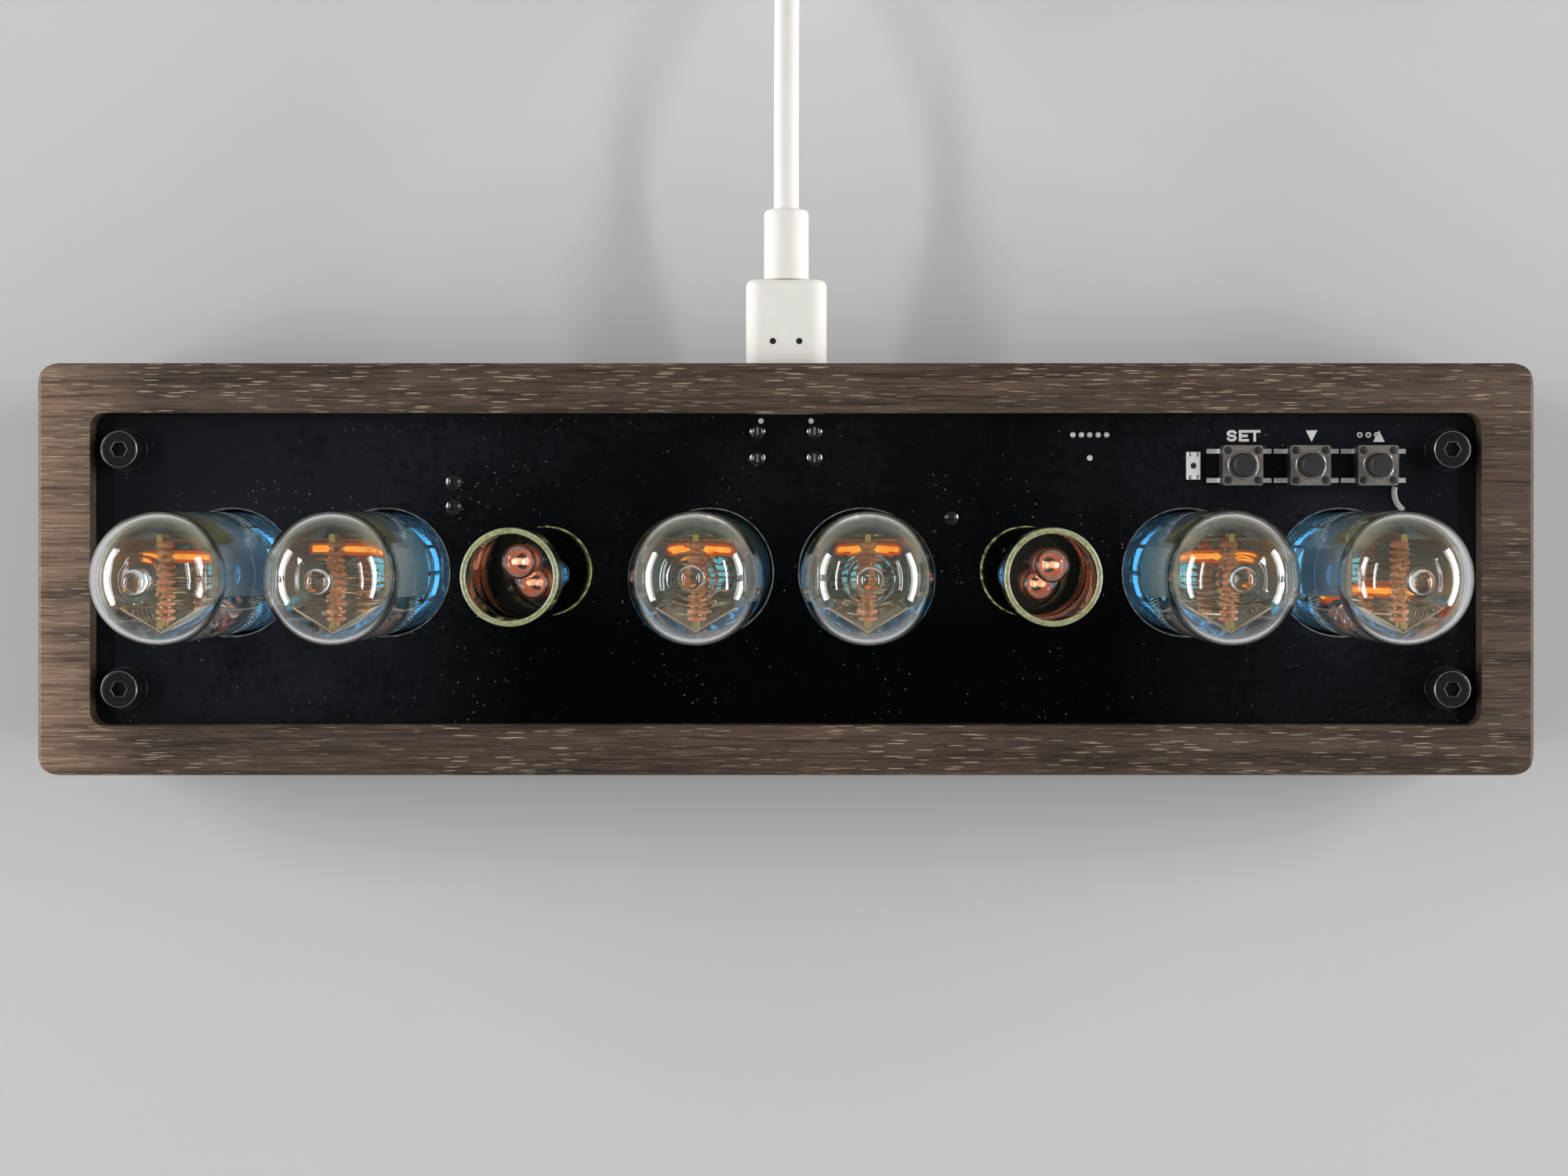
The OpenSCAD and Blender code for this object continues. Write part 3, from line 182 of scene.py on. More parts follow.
class Finish:
    """A material whose nodes are added one call at a time; places are in millimetres on the object."""

    def __init__(self, name, **values):
        self.material = bpy.data.materials.new(name)
        self.material.use_nodes = True
        self.tree = self.material.node_tree
        self.shader = self.tree.nodes["Principled BSDF"]
        self.out = self.tree.nodes["Material Output"]
        place = self.tree.nodes.new("ShaderNodeTexCoord")
        self.normal = place.outputs["Normal"]
        scale = self.tree.nodes.new("ShaderNodeMapping")
        scale.inputs["Scale"].default_value = (1 / MM,) * 3
        self.tree.links.new(place.outputs["Object"], scale.inputs["Vector"])
        self.place = scale.outputs["Vector"]
        for socket, value in values.items():
            self.set(socket.replace("_", " "), value)

    def set(self, socket, value):
        feed(self.tree, self.shader.inputs[socket], value)

    def node(self, kind, inputs=(), **attributes):
        return add_node(self.tree, kind, inputs, attributes)

    def stretched(self, scale, offset=(0, 0, 0)):
        return self.node("ShaderNodeMapping", {
            "Vector": self.place, "Scale": scale, "Location": offset}).outputs[0]

    def noise(self, scale, detail=4, where=None, rough=0.55):
        inputs = {"Vector": where or self.place, "Scale": scale, "Detail": detail, "Roughness": rough}
        return self.node("ShaderNodeTexNoise", inputs).outputs["Fac"]

    def dots(self, scale, where=None):
        """Distance to the nearest of many scattered points."""
        return self.node("ShaderNodeTexVoronoi", {
            "Vector": where or self.place, "Scale": scale, "Randomness": 1.0}).outputs["Distance"]

    def ramp(self, fac, *stops):
        made = self.node("ShaderNodeValToRGB", {"Fac": fac})
        for key, (at, colour) in zip(made.color_ramp.elements, stops):
            key.position = at
            key.color = (*colour, 1)
        return made.outputs["Color"]

    def range(self, fac, low, high, to_low=0.0, to_high=1.0):
        inputs = {"Value": fac, "From Min": low, "From Max": high, "To Min": to_low, "To Max": to_high}
        return self.node("ShaderNodeMapRange", inputs).outputs[0]

    def mix(self, fac, a, b, blend="MIX"):
        made = self.node("ShaderNodeMix", {0: fac, 6: a, 7: b}, data_type="RGBA", blend_type=blend)
        return made.outputs[2]

    def math(self, operation, a, b=0.0):
        return self.node("ShaderNodeMath", {0: a, 1: b}, operation=operation).outputs[0]

    def times(self, a, b):
        return self.math("MULTIPLY", a, b)

    def plus(self, a, b):
        return self.math("ADD", a, b)

    def axis(self, name, source=None):
        return self.node("ShaderNodeSeparateXYZ", {"Vector": source or self.place}).outputs[name]

    def facing(self, name):
        """How far the surface faces along an axis, either way."""
        return self.math("ABSOLUTE", self.axis(name, self.normal))

    def bump(self, height, depth, strength=1.0):
        made = self.node("ShaderNodeBump", {"Height": height, "Distance": depth * MM, "Strength": strength})
        self.set("Normal", made.outputs["Normal"])

    def mixed(self, share, first, second):
        both = self.node("ShaderNodeMixShader", {0: share, 1: first, 2: second})
        feed(self.tree, self.out.inputs["Surface"], both.outputs[0])
        return self

    def clear(self, colour):
        return self.node("ShaderNodeBsdfTransparent", {"Color": colour}).outputs[0]

    def lets_lamps_through(self, colour):
        """Lamps shine through this glass on what is inside it."""
        lamp = self.node("ShaderNodeLightPath").outputs["Is Shadow Ray"]
        return self.mixed(lamp, self.shader.outputs[0], self.clear(colour))

    def thin(self, share, colour=(1, 1, 1)):
        """A thin sheet that shows what is behind it."""
        return self.mixed(share, self.clear(colour), self.shader.outputs[0])


def wood_finish():
    """Dark open-grained wood whose grain runs along the case."""
    f = Finish("oiled_dark_wood", Specular_IOR_Level=0.3)
    c = colours()
    drift = f.noise(0.02, 3)
    shift = f.node("ShaderNodeCombineXYZ", {"Y": f.times(drift, 9.0), "Z": f.times(drift, 6.0)}).outputs[0]
    moved = f.node("ShaderNodeVectorMath", {0: f.place, 1: shift}, operation="ADD").outputs[0]
    wavy = f.node("ShaderNodeMapping", {"Vector": moved, "Scale": (0.02, 0.42, 0.42)}).outputs[0]
    fine = f.noise(1.0, 4, f.stretched((0.12, 3.6, 3.6)), 0.6)
    grain = f.mix(0.5, f.noise(1.0, 5, wavy, 0.62), fine)
    base = f.ramp(grain, (0.38, c.wood_dark), (0.62, c.wood_light))

    # painted light: the top is made paler towards the left end, and a little at the right and the back,
    # where more light falls on it
    x = f.axis("X")
    painted_light = f.plus(f.range(x, -112, -96, 2.5, 0.0), f.range(x, 90, 112, 0.85, 1.2))
    painted_light = f.plus(painted_light, f.range(f.axis("Y"), 20, 28, 0.0, 0.15))
    painted_light = f.mix(f.range(f.axis("Z", f.normal), 0.4, 0.9), (1, 1, 1), painted_light)

    # end grain has specks in place of lines
    end = f.range(f.facing("X"), 0.5, 0.9)
    along = f.math("SUBTRACT", 1.0, end)
    specks = f.ramp(f.noise(1.6, 4), (0.35, c.wood_dark), (0.65, [v * 0.7 for v in c.wood_light]))
    base = f.mix(1.0, f.mix(f.times(end, 0.8), base, specks), painted_light, "MULTIPLY")

    streaks = f.range(f.noise(1.0, 3, f.stretched((0.07, 3.4, 3.4), (3, 7, 1))), 0.56, 0.66)
    base = f.mix(f.times(f.times(streaks, along), 0.5), base, [v * 0.3 for v in c.wood_dark])
    hairs = f.range(f.noise(1.0, 2, f.stretched((0.2, 7, 7), (5, 1, 8))), 0.6, 0.68)
    base = f.mix(f.times(hairs, 0.55), base, [v * 1.8 for v in c.wood_light])
    flecks = f.range(f.dots(1.0, f.stretched((0.17, 3.0, 3.0))), 0.27, 0.2)
    patches = f.range(f.noise(0.07, 3, f.stretched((0.6, 1, 1), (9, 2, 4))), 0.36, 0.56)
    pores = f.times(f.times(flecks, patches), along)
    f.set("Base Color", f.mix(f.times(pores, 0.9), base, c.pore))
    f.set("Roughness", f.range(fine, 0.3, 0.7, 0.42, 0.62))
    f.bump(f.math("SUBTRACT", f.times(fine, 0.5), pores), 0.06, 0.7)
    return f.material


def board_finish():
    """Glossy black mask with dust on it and painted light in soft patches towards the back and both ends,
    and raw board at the cut edges.
    """
    f = Finish("black_board", Specular_IOR_Level=0.07)
    # painted light: the mask is made paler towards the back and both ends, in soft patches, where more light
    # falls on the gloss
    x = f.axis("X")
    painted_light_share = f.plus(f.range(f.axis("Y"), -8, 19, 0, 0.45), f.range(x, -40, -100, 0, 1.5))
    painted_light_share = f.plus(painted_light_share, f.range(x, 50, 105, 0, 1.0))
    painted_light_share = f.times(painted_light_share, f.range(f.noise(0.04, 3), 0.35, 0.65, 0.5, 1.5))
    painted_light_share = f.times(painted_light_share, f.range(f.noise(0.8, 5), 0.3, 0.7, 0.55, 1.5))
    mask = f.mix(painted_light_share, colours().board, (0.0105, 0.012, 0.0148))
    dust = f.times(f.range(f.dots(0.8), 0.12, 0.05), f.range(f.noise(0.09, 2), 0.46, 0.62))
    mask = f.mix(f.times(dust, 0.5), mask, (0.35, 0.36, 0.37))
    edge = f.mix(f.noise(1.4), (0.13, 0.115, 0.06), (0.24, 0.21, 0.13))
    f.set("Base Color", f.mix(f.range(f.facing("Z"), 0.55, 0.8), edge, mask))
    f.set("Roughness", f.range(f.noise(0.5, 3), 0.3, 0.7, 0.16, 0.24))
    f.bump(f.plus(f.noise(9, 2), f.times(dust, 4.0)), 0.002, 0.5)
    return f.material


def plain_finish(name, colour, roughness, spread=0.25, scale=1.2, metallic=0.0, depth=0.01, **values):
    """A finish with a slight cloudy change of colour and roughness and a fine surface texture."""
    f = Finish(name, Metallic=metallic, **values)
    cloud = f.noise(scale * 0.2, 3)
    fine = f.noise(scale * 6, 3)
    f.set("Base Color", f.mix(f.range(cloud, 0.3, 0.7), [v * (1 - spread) for v in colour], colour))
    f.set("Roughness", f.range(fine, 0.3, 0.7, max(0.05, roughness - 0.06), roughness + 0.06))
    f.bump(fine, depth)
    return f.material


def brushed_finish(name, colour, roughness, along=(0.5, 8, 8)):
    """Metal with fine parallel scratches."""
    f = Finish(name, Metallic=1.0)
    lines = f.noise(1.0, 4, f.stretched(along))
    f.set("Base Color", f.mix(f.range(lines, 0.3, 0.7), [v * 0.75 for v in colour], colour))
    f.set("Roughness", f.range(lines, 0.3, 0.7, roughness - 0.08, roughness + 0.08))
    f.bump(lines, 0.01)
    return f.material


def envelope_finish():
    """Clear drawn glass with faint waviness."""
    f = Finish("tube_glass", Roughness=0.0, IOR=1.47, Transmission_Weight=1.0)
    f.set("Base Color", f.mix(f.range(f.noise(0.08, 2), 0.3, 0.7), (0.97, 0.985, 0.99), (0.93, 0.97, 0.98)))
    f.bump(f.noise(0.12, 1), 0.05, 0.15)
    return f.lets_lamps_through((0.96, 0.98, 0.99)).material


def colon_finish():
    """Clear thick glass whose cut ends look pale olive."""
    f = Finish("colon_glass", IOR=1.47)
    end = f.range(f.axis("Z", f.normal), 0.3, 0.8)
    body = f.mix(f.range(f.noise(0.1, 2), 0.3, 0.7), (0.985, 0.99, 0.97), (0.97, 0.98, 0.95))
    cut = f.mix(f.range(f.noise(1.6, 2), 0.35, 0.65), (0.42, 0.43, 0.2), (0.74, 0.75, 0.45))
    f.set("Base Color", f.mix(end, body, cut))
    f.set("Roughness", f.range(end, 0, 1, 0.01, 0.22))
    f.set("Transmission Weight", f.range(end, 0, 1, 1.0, 0.55))
    f.bump(f.noise(0.3, 1), 0.03, 0.15)
    return f.lets_lamps_through((0.95, 0.96, 0.92)).material


def stem_finish():
    """Pressed glass foot with the blue light from below painted on as a glow of its own, brightest low down
    and in spots.
    """
    f = Finish("stem_glass", IOR=1.47, Transmission_Weight=0.85)
    c = colours()
    low = f.range(f.axis("Z"), TUBE_FOOT, TUBE_FOOT + 6, 1.0, 0.3)
    spots = f.range(f.noise(1.1, 2), 0.56, 0.68, 0.04, 2.6)
    cloud = f.range(f.noise(0.8, 3), 0.35, 0.65, 0.6, 1.0)
    f.set("Base Color", f.mix(cloud, (0.2, 0.3, 0.36), (0.45, 0.55, 0.62)))
    f.set("Roughness", f.range(cloud, 0.6, 1.0, 0.25, 0.08))
    # painted light: the glass glows blue itself, brightest low down and in spots, in place of the light of
    # the lamps below
    f.set("Emission Color", c.underlight)
    f.set("Emission Strength", f.times(low, f.times(spots, 0.5)))
    return f.lets_lamps_through((0.8, 0.9, 1)).material


def flare_finish():
    """The pressed foot's flare, with blue light painted on as its own colour and glow, brightest where it
    meets the wall of the tube.
    """
    f = Finish("stem_flare", Roughness=0.3)
    c = colours()
    up = f.range(f.axis("Z"), TUBE_FOOT + 0.5, TUBE_FOOT + 3.4)
    cloud = f.range(f.noise(0.5, 3), 0.3, 0.7, 0.4, 0.75)
    # painted light: the flare turns blue and glows towards the top, where the light from below shows in the
    # glass
    f.set("Base Color", f.mix(up, (0.02, 0.03, 0.04), (0.1, 0.2, 0.3)))
    f.set("Emission Color", f.mix(up, [v * 0.6 for v in c.underlight], (0.14, 0.5, 0.85)))
    f.set("Emission Strength", f.times(f.times(up, up), cloud))
    return f.thin(f.range(up, 0, 1, 0.35, 0.95), (0.8, 0.9, 0.95)).material


def underlight_finish():
    f = Finish("underlight", Roughness=0.4, Emission_Strength=9.0)
    c = colours()
    f.set("Base Color", f.mix(f.noise(3.0), (0.5, 0.7, 0.9), (0.8, 0.9, 1)))
    f.set("Emission Color", c.underlight)
    return f.material


def glow_finish(name, hot, cool, strength):
    """Light round a lit wire, hotter in patches."""
    f = Finish(name, Roughness=0.5, Emission_Strength=strength)
    patches = f.range(f.noise(0.6, 2), 0.35, 0.65)
    for socket in ("Base Color", "Emission Color"):
        f.set(socket, f.mix(patches, cool, hot))
    return f.material


def haze_finish(name, dark, cool, hot, strength, scale, least, most):
    """Faint glow of a gas, denser in patches."""
    f = Finish(name, Roughness=1.0, Emission_Strength=strength)
    f.set("Base Color", dark)
    f.set("Emission Color", f.mix(f.noise(scale, 2), cool, hot))
    return f.thin(f.range(f.noise(scale - 0.2, 2), 0.3, 0.7, least, most)).material


def seat_finish():
    """Olive line where a colon tube meets the board, broken in places."""
    f = Finish("colon_seat", Roughness=0.2)
    patch = f.noise(1.1, 1)
    f.set("Base Color", f.mix(patch, (0.16, 0.16, 0.05), (0.42, 0.42, 0.19)))
    return f.thin(f.range(patch, 0.42, 0.58, 0.1, 0.9)).material


def shield_finish():
    """Grey sheet behind the digits, with the blue light from below painted into its colour low down."""
    f = Finish("shield_sheet", Metallic=0.3)
    height = f.plus(f.axis("Z"), f.times(f.noise(0.2, 3), 8.0))
    up = f.range(height, MICA_LOW, MICA_HIGH + 2)
    # painted light: the colour turns blue low down, where the light from below falls on the sheet
    f.set("Base Color", f.mix(up, (0.1, 0.28, 0.42), (0.29, 0.28, 0.27)))
    f.set("Roughness", f.range(f.noise(3, 2), 0.3, 0.7, 0.38, 0.5))
    return f.material


def mica_finish():
    """Thin split mineral sheet: brownish, with a shine at its edge."""
    f = Finish("mica", Roughness=0.16, IOR=1.58)
    layers = f.noise(0.3, 2, f.stretched((1, 1, 4)))
    flat = f.range(f.facing("Z"), 0.4, 0.9)
    sheet = f.mix(f.range(layers, 0.3, 0.7), (0.07, 0.05, 0.03), (0.2, 0.16, 0.11))
    f.set("Base Color", f.mix(flat, (0.75, 0.7, 0.58), sheet))
    return f.thin(f.range(flat, 0, 1, 0.95, 0.13), (0.84, 0.77, 0.66)).material


def getter_finish():
    """Thin olive metal film on the inside of the glass, fading at its rim."""
    f = Finish("getter_film", Roughness=0.35, Metallic=0.15)
    cloud = f.noise(0.14, 3)
    f.set("Base Color", f.mix(f.range(cloud, 0.35, 0.65), (0.08, 0.065, 0.02), (0.26, 0.22, 0.07)))
    height = f.plus(f.axis("Z"), f.times(cloud, 7.0))
    low = f.range(height, MICA_HIGH - 8, MICA_HIGH - 3)
    high = f.range(height, MICA_HIGH + 8, MICA_HIGH + 4)
    return f.thin(f.times(f.times(low, high), 0.8)).material


def bead_finish():
    """Fired spacer beads; the bare rod shows at both ends."""
    f = Finish("spacer_ceramic")
    cloud = f.range(f.noise(0.6, 3), 0.35, 0.65)
    beads = f.mix(cloud, (0.56, 0.27, 0.2), (0.88, 0.52, 0.42))
    beads_back, beads_front = 4.66, -6.66
    y = f.axis("Y")
    bare = f.plus(f.math("GREATER_THAN", y, beads_back), f.math("LESS_THAN", y, beads_front))
    f.set("Base Color", f.mix(bare, beads, (0.4, 0.32, 0.1)))
    # painted light: a faint orange glow of the beads' own stands in for the light that the lit digits throw
    # on them
    f.set("Emission Color", (1, 0.36, 0.24))
    f.set("Emission Strength", f.range(cloud, 0, 1, 0.05, 0.13))
    f.set("Roughness", f.range(cloud, 0, 1, 0.36, 0.5))
    f.bump(f.noise(5, 2), 0.02)
    return f.material


def fabric_finish():
    f = Finish("strap_fabric", Roughness=0.85, Sheen_Weight=0.3)
    weave = f.node("ShaderNodeTexChecker", {"Vector": f.place, "Scale": 2.2}).outputs["Fac"]
    f.set("Base Color", f.mix(weave, (0.02, 0.02, 0.022), (0.05, 0.05, 0.055)))
    f.bump(weave, 0.08)
    return f.material


# each slot's material name, colour, roughness and what else differs
PLAIN_FINISHES = {
    "black_acrylic": ("black_cover", (0.02, 0.02, 0.022), 0.3, {}),
    "black_steel": (
        "black_oxide", (0.008, 0.008, 0.009), 0.3,
        dict(depth=0.02, Specular_IOR_Level=0.2, Coat_Weight=0.5, Coat_Roughness=0.08)),
    "foot_rubber": ("foot_rubber", (0.03, 0.03, 0.03), 0.8, dict(depth=0.03)),
    "green_board": ("dark_green_board", (0.004, 0.012, 0.008), 0.35, {}),
    "switch_sheet": (
        "switch_sheet", (0.36, 0.315, 0.28), 0.26, dict(spread=0.35, metallic=0.55, depth=0.02)),
    "frame_sheet": ("frame_sheet", (0.68, 0.62, 0.57), 0.35, dict(metallic=0.4)),
    "solder_dot": ("solder_dot", (0.8, 0.79, 0.76), 0.35, dict(metallic=0.3)),
    # painted highlight: a grey line that stands in for the glint on the edge of each tube's hole
    "painted_hole_glint": ("painted_hole_glint", (0.2, 0.2, 0.2), 0.25, dict(spread=0.8, scale=4)),
    # painted highlight: bright metal that stands in for glints on the black screws
    "painted_glint_metal": ("painted_glint_metal", (0.34, 0.34, 0.35), 0.2, dict(metallic=0.8)),
    "wire_sleeve": ("wire_sleeve", (0.33, 0.32, 0.31), 0.5, {}),
    "tab_sheet": ("tab_sheet", (0.3, 0.23, 0.07), 0.4, dict(metallic=0.5)),
    "tin": ("tinned_metal", (0.75, 0.74, 0.7), 0.25, dict(metallic=1.0, depth=0.03)),
    "black_lacquer": ("black_lacquer", (0.008, 0.008, 0.01), 0.12, dict(Coat_Weight=0.6)),
    "black_plastic": ("black_plastic", (0.022, 0.022, 0.024), 0.42, {}),
    "spacer_plastic": ("spacer_plastic", (0.06, 0.07, 0.08), 0.4, {}),
    "white_plastic": ("white_plastic", (0.8, 0.8, 0.78), 0.4, dict(spread=0.08)),
    "blue_sleeve": ("blue_sleeve", (0.03, 0.06, 0.2), 0.3, {}),
    "ink": ("white_ink", (0.85, 0.85, 0.83), 0.5, dict(spread=0.1)),
    "dark_spot": ("dark_spot", (0.03, 0.02, 0.015), 0.6, {}),
}


def make_finishes():
    """Every finish, by the record's material slots and a few names of the scene's own."""
    c = colours()
    made = {
        slot: plain_finish(name, colour, roughness, **rest)
        for slot, (name, colour, roughness, rest) in PLAIN_FINISHES.items()}
    made.update({
        "walnut": wood_finish(),
        "black_board": board_finish(),
        "brass": brushed_finish("turned_brass", (0.72, 0.52, 0.22), 0.3),
        "steel": brushed_finish("nickel_sheet", (0.56, 0.56, 0.57), 0.34),
        "shield_sheet": shield_finish(),
        "lamp_haze": haze_finish(
            "lamp_haze", (0.05, 0.01, 0.005), (1.0, 0.15, 0.03), (1.0, 0.27, 0.09), 0.6, 0.8, 0.2, 0.42),
        "seat": seat_finish(),
        "blue_light": underlight_finish(),
        "tube_glass": envelope_finish(),
        "stem_glass": stem_finish(),
        "colon_glass": colon_finish(),
        "lamp_glass": envelope_finish(),
        "lamp_metal": glow_finish("lamp_glow", (1.0, 0.55, 0.34), (0.9, 0.28, 0.12), 0.7),
        "digit_metal": brushed_finish("digit_sheet", (0.5, 0.42, 0.33), 0.35, (6, 6, 1)),
        "ceramic": bead_finish(),
        "mica": mica_finish(),
        "mesh_metal": brushed_finish("mesh_metal", (0.42, 0.43, 0.43), 0.35, (5, 5, 0.6)),
        "cable_white": plain_finish(
            "cable_white", tuple(c.cable), 0.6, spread=0.03, depth=0.015, Specular_IOR_Level=0.3),
        "tie_fabric": fabric_finish(),
        "getter": getter_finish(),
        "lit_digit": glow_finish("lit_digit", (1.0, 0.74, 0.14), tuple(c.glow), 1.7),
        "stem_flare": flare_finish(),
        "digit_haze": haze_finish(
            "digit_haze", (0.02, 0.002, 0), (1.0, 0.1, 0.008), (1.0, 0.2, 0.012), 1.3, 0.7, 0.09, 0.17)})
    return made


FINISHES = {}


# ---- shapes ----

class Shape:
    """Points and faces in millimetres that become one object in metres."""

    def __init__(self):
        self.points = []
        self.faces = []
        self.cavity = range(0)

    def add(self, points, faces):
        base = len(self.points)
        self.points += [Vector(p) for p in points]
        self.faces += [[base + i for i in face] for face in faces]
        return self

    def lathe(self, outline, at=(0, 0, 0), steps=64, closed=False, lean=None):
        """Turns (radius, height) points round an upright axis; lean shifts each ring by its height."""
        rings = []
        for radius, height in outline:
            shift = lean(height) if lean else (0, 0)
            centre = Vector((at[0] + shift[0], at[1] + shift[1], at[2] + height))
            rings.append(len(self.points))
            count = steps if radius > 1e-6 else 1
            self.points += [centre + Vector((x, y, 0)) for x, y in circle(0, 0, radius, steps)[:count]]
        pairs = list(zip(range(len(outline) - 1), range(1, len(outline))))
        if closed:
            pairs.append((len(outline) - 1, 0))
        for a, b in pairs:
            first, second = rings[a], rings[b]
            if outline[a][0] <= 1e-6:
                self.faces += [[first, second + (k + 1) % steps, second + k] for k in range(steps)]
            elif outline[b][0] <= 1e-6:
                self.faces += [[first + k, first + (k + 1) % steps, second] for k in range(steps)]
            else:
                self.faces += quads(first, second, steps)
        return self

    def loft(self, rings):
        """Joins rings of equal count, each a list of points, and closes both ends."""
        count = len(rings[0])
        base = len(self.points)
        for ring in rings:
            self.points += [Vector(p) for p in ring]
        for i in range(len(rings) - 1):
            self.faces += quads(base + i * count, base + (i + 1) * count, count)
        self.faces.append([base + k for k in reversed(range(count))])
        self.faces.append([base + (len(rings) - 1) * count + k for k in range(count)])
        return self

    def sweep(self, path, radius, sides=8):
        """A round wire along a path; its radius may be a function of the share of the way."""
        path = [Vector(p) for p in path]
        rings = []
        side = None
        for i, point in enumerate(path):
            ahead = (path[min(i + 1, len(path) - 1)] - path[max(i - 1, 0)]).normalized()
            if side is None:
                up = Vector((0, 0, 1)) if abs(ahead.z) < 0.9 else Vector((0, 1, 0))
                side = ahead.cross(up).normalized()
            side = (side - ahead * side.dot(ahead)).normalized()
            over = side.cross(ahead)
            r = radius(i / (len(path) - 1)) if callable(radius) else radius
            rings.append([point + side * x + over * z for x, z in circle(0, 0, r, sides)])
        return self.loft(rings)

    def bar(self, width, thick, corner, edge, y_from, y_to, x, z, rear=None):
        """A moulded bar along Y with round corners and rounded ends."""
        rear = edge if rear is None else rear
        places = arc(y_from + edge, edge, edge, 180, 270, 5) + arc(y_to - rear, rear, rear, -90, 0, 5)
        rings = []
        for y, inset in places:
            ring = outline(width - 2 * inset, thick - 2 * inset, max(corner - inset, 0.1))
            rings.append([(x + px, y, z + pz) for px, pz in ring])
        return self.loft(rings)

    def prism(self, points, low, high):
        """An upright prism over a flat outline that runs anticlockwise."""
        return self.loft([[(x, y, low) for x, y in points], [(x, y, high) for x, y in points]])

    def object(self, name, finish, smooth_below=40):
        mesh = bpy.data.meshes.new(name)
        mesh.from_pydata([p * MM for p in self.points], [], self.faces)
        for index in self.cavity:
            mesh.polygons[index].material_index = 1
        mesh.update()
        made = bpy.data.objects.new(name, mesh)
        bpy.context.collection.objects.link(made)
        made.data.materials.append(FINISHES[finish])
        outward(made)
        smooth(made, smooth_below)
        return made


def quads(a, b, count):
    """Faces between two rings of points whose first points are a and b."""
    return [[a + k, a + (k + 1) % count, b + (k + 1) % count, b + k] for k in range(count)]


def arc(x, z, r, start, end, steps=20, tall=None):
    """Points on an arc from one angle to another, in degrees; tall is its upright radius."""
    tall = r if tall is None else tall
    angles = [math.radians(start + (end - start) * k / steps) for k in range(steps + 1)]
    return [(x + r * math.cos(a), z + tall * math.sin(a)) for a in angles]


def circle(x, z, r, steps, tall=None):
    return arc(x, z, r, 0, 360, steps, tall)[:-1]


def outline(width, height, corner, steps=6):
    """A rectangle with round corners, anticlockwise."""
    points = []
    for quarter, (sx, sy) in enumerate(((1, 1), (-1, 1), (-1, -1), (1, -1))):
        centre = (sx * (width / 2 - corner), sy * (height / 2 - corner))
        points += arc(*centre, corner, 90 * quarter, 90 * quarter + 90, steps)
    return points


@contextmanager
def edited(mesh):
    """A mesh's editable shape, written back at the end."""
    shape = bmesh.new()
    shape.from_mesh(mesh)
    yield shape
    shape.to_mesh(mesh)
    shape.free()


def outward(piece):
    """Merges doubles and turns all faces outwards, and those of a closed cavity inwards."""
    with edited(piece.data) as shape:
        bmesh.ops.remove_doubles(shape, verts=shape.verts, dist=0.000001)
        bmesh.ops.recalc_face_normals(shape, faces=shape.faces)
        cavity = [face for face in shape.faces if face.material_index]
        bmesh.ops.reverse_faces(shape, faces=cavity)
        for face in cavity:
            face.material_index = 0


def smooth(piece, below=40):
    """Smooth shading, with edges steeper than an angle kept sharp."""
    for face in piece.data.polygons:
        face.use_smooth = True
    with edited(piece.data) as shape:
        for edge in shape.edges:
            edge.smooth = edge.calc_face_angle(0) < math.radians(below)


def catmull(points, per_span):
    """A smooth line through given points."""
    points = [Vector(p) for p in points]
    ends = [2 * points[0] - points[1]] + points + [2 * points[-1] - points[-2]]
    line = []
    for a, b, c, d in zip(ends, ends[1:], ends[2:], ends[3:]):
        for k in range(per_span):
            t = k / per_span
            line.append(0.5 * (
                2 * b + (c - a) * t + (2 * a - 5 * b + 4 * c - d) * t * t
                + (3 * b - a - 3 * c + d) * t ** 3))
    return line + [points[-1]]


def softened(node, finish, edge, segments=2, name=None, body=CLOCK):
    """A copy of a CAD node's mesh with its edges rounded; it stands for the node."""
    source = frame["nodes"][node]
    made = bpy.data.objects.new(name or f"{node}_finished", source.data.copy())
    bpy.context.collection.objects.link(made)
    with edited(made.data) as shape:
        bmesh.ops.remove_doubles(shape, verts=shape.verts, dist=0.000002)
        bmesh.ops.dissolve_limit(
            shape, angle_limit=math.radians(1.5), verts=shape.verts, edges=shape.edges)
    made.data.materials.clear()
    made.data.materials.append(FINISHES[finish])
    round_off = made.modifiers.new("edges", "BEVEL")
    round_off.width = edge * MM
    round_off.segments = segments
    round_off.limit_method = "ANGLE"
    round_off.angle_limit = math.radians(35)
    round_off.use_clamp_overlap = True
    round_off.harden_normals = False
    plain = baked(made)
    smooth(plain, 45)
    even = plain.modifiers.new("even_normals", "WEIGHTED_NORMAL")
    even.keep_sharp = True
    baked(plain)
    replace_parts(plain, node)
    return fit(plain, body)


def baked(piece):
    """Turns an object's evaluated result into a plain mesh of its own."""
    graph = bpy.context.evaluated_depsgraph_get()
    mesh = bpy.data.meshes.new_from_object(piece.evaluated_get(graph))
    piece.modifiers.clear()
    piece.data = mesh
    return piece


def carve(piece, cutter):
    """Cuts a shape out of a piece."""
    cut = piece.modifiers.new("cut", "BOOLEAN")
    cut.operation = "DIFFERENCE"
    cut.solver = "EXACT"
    cut.object = cutter
    baked(piece)
    bpy.data.objects.remove(cutter)
    return piece


def fit(piece, body=CLOCK):
    """Hangs a finished piece on its body."""
    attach(piece, body)
    return piece


def in_place_of(piece, slot, *nodes):
    """Hangs a finished piece on the clock, where it stands for CAD nodes."""
    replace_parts(fit(piece), *nodes)
    return piece


def finish_node(node, finish):
    """Gives a CAD node that keeps its shape its material."""
    target = frame["nodes"][node]
    target.data.materials.clear()
    target.data.materials.append(FINISHES[finish])


# ---- geometry node trees ----

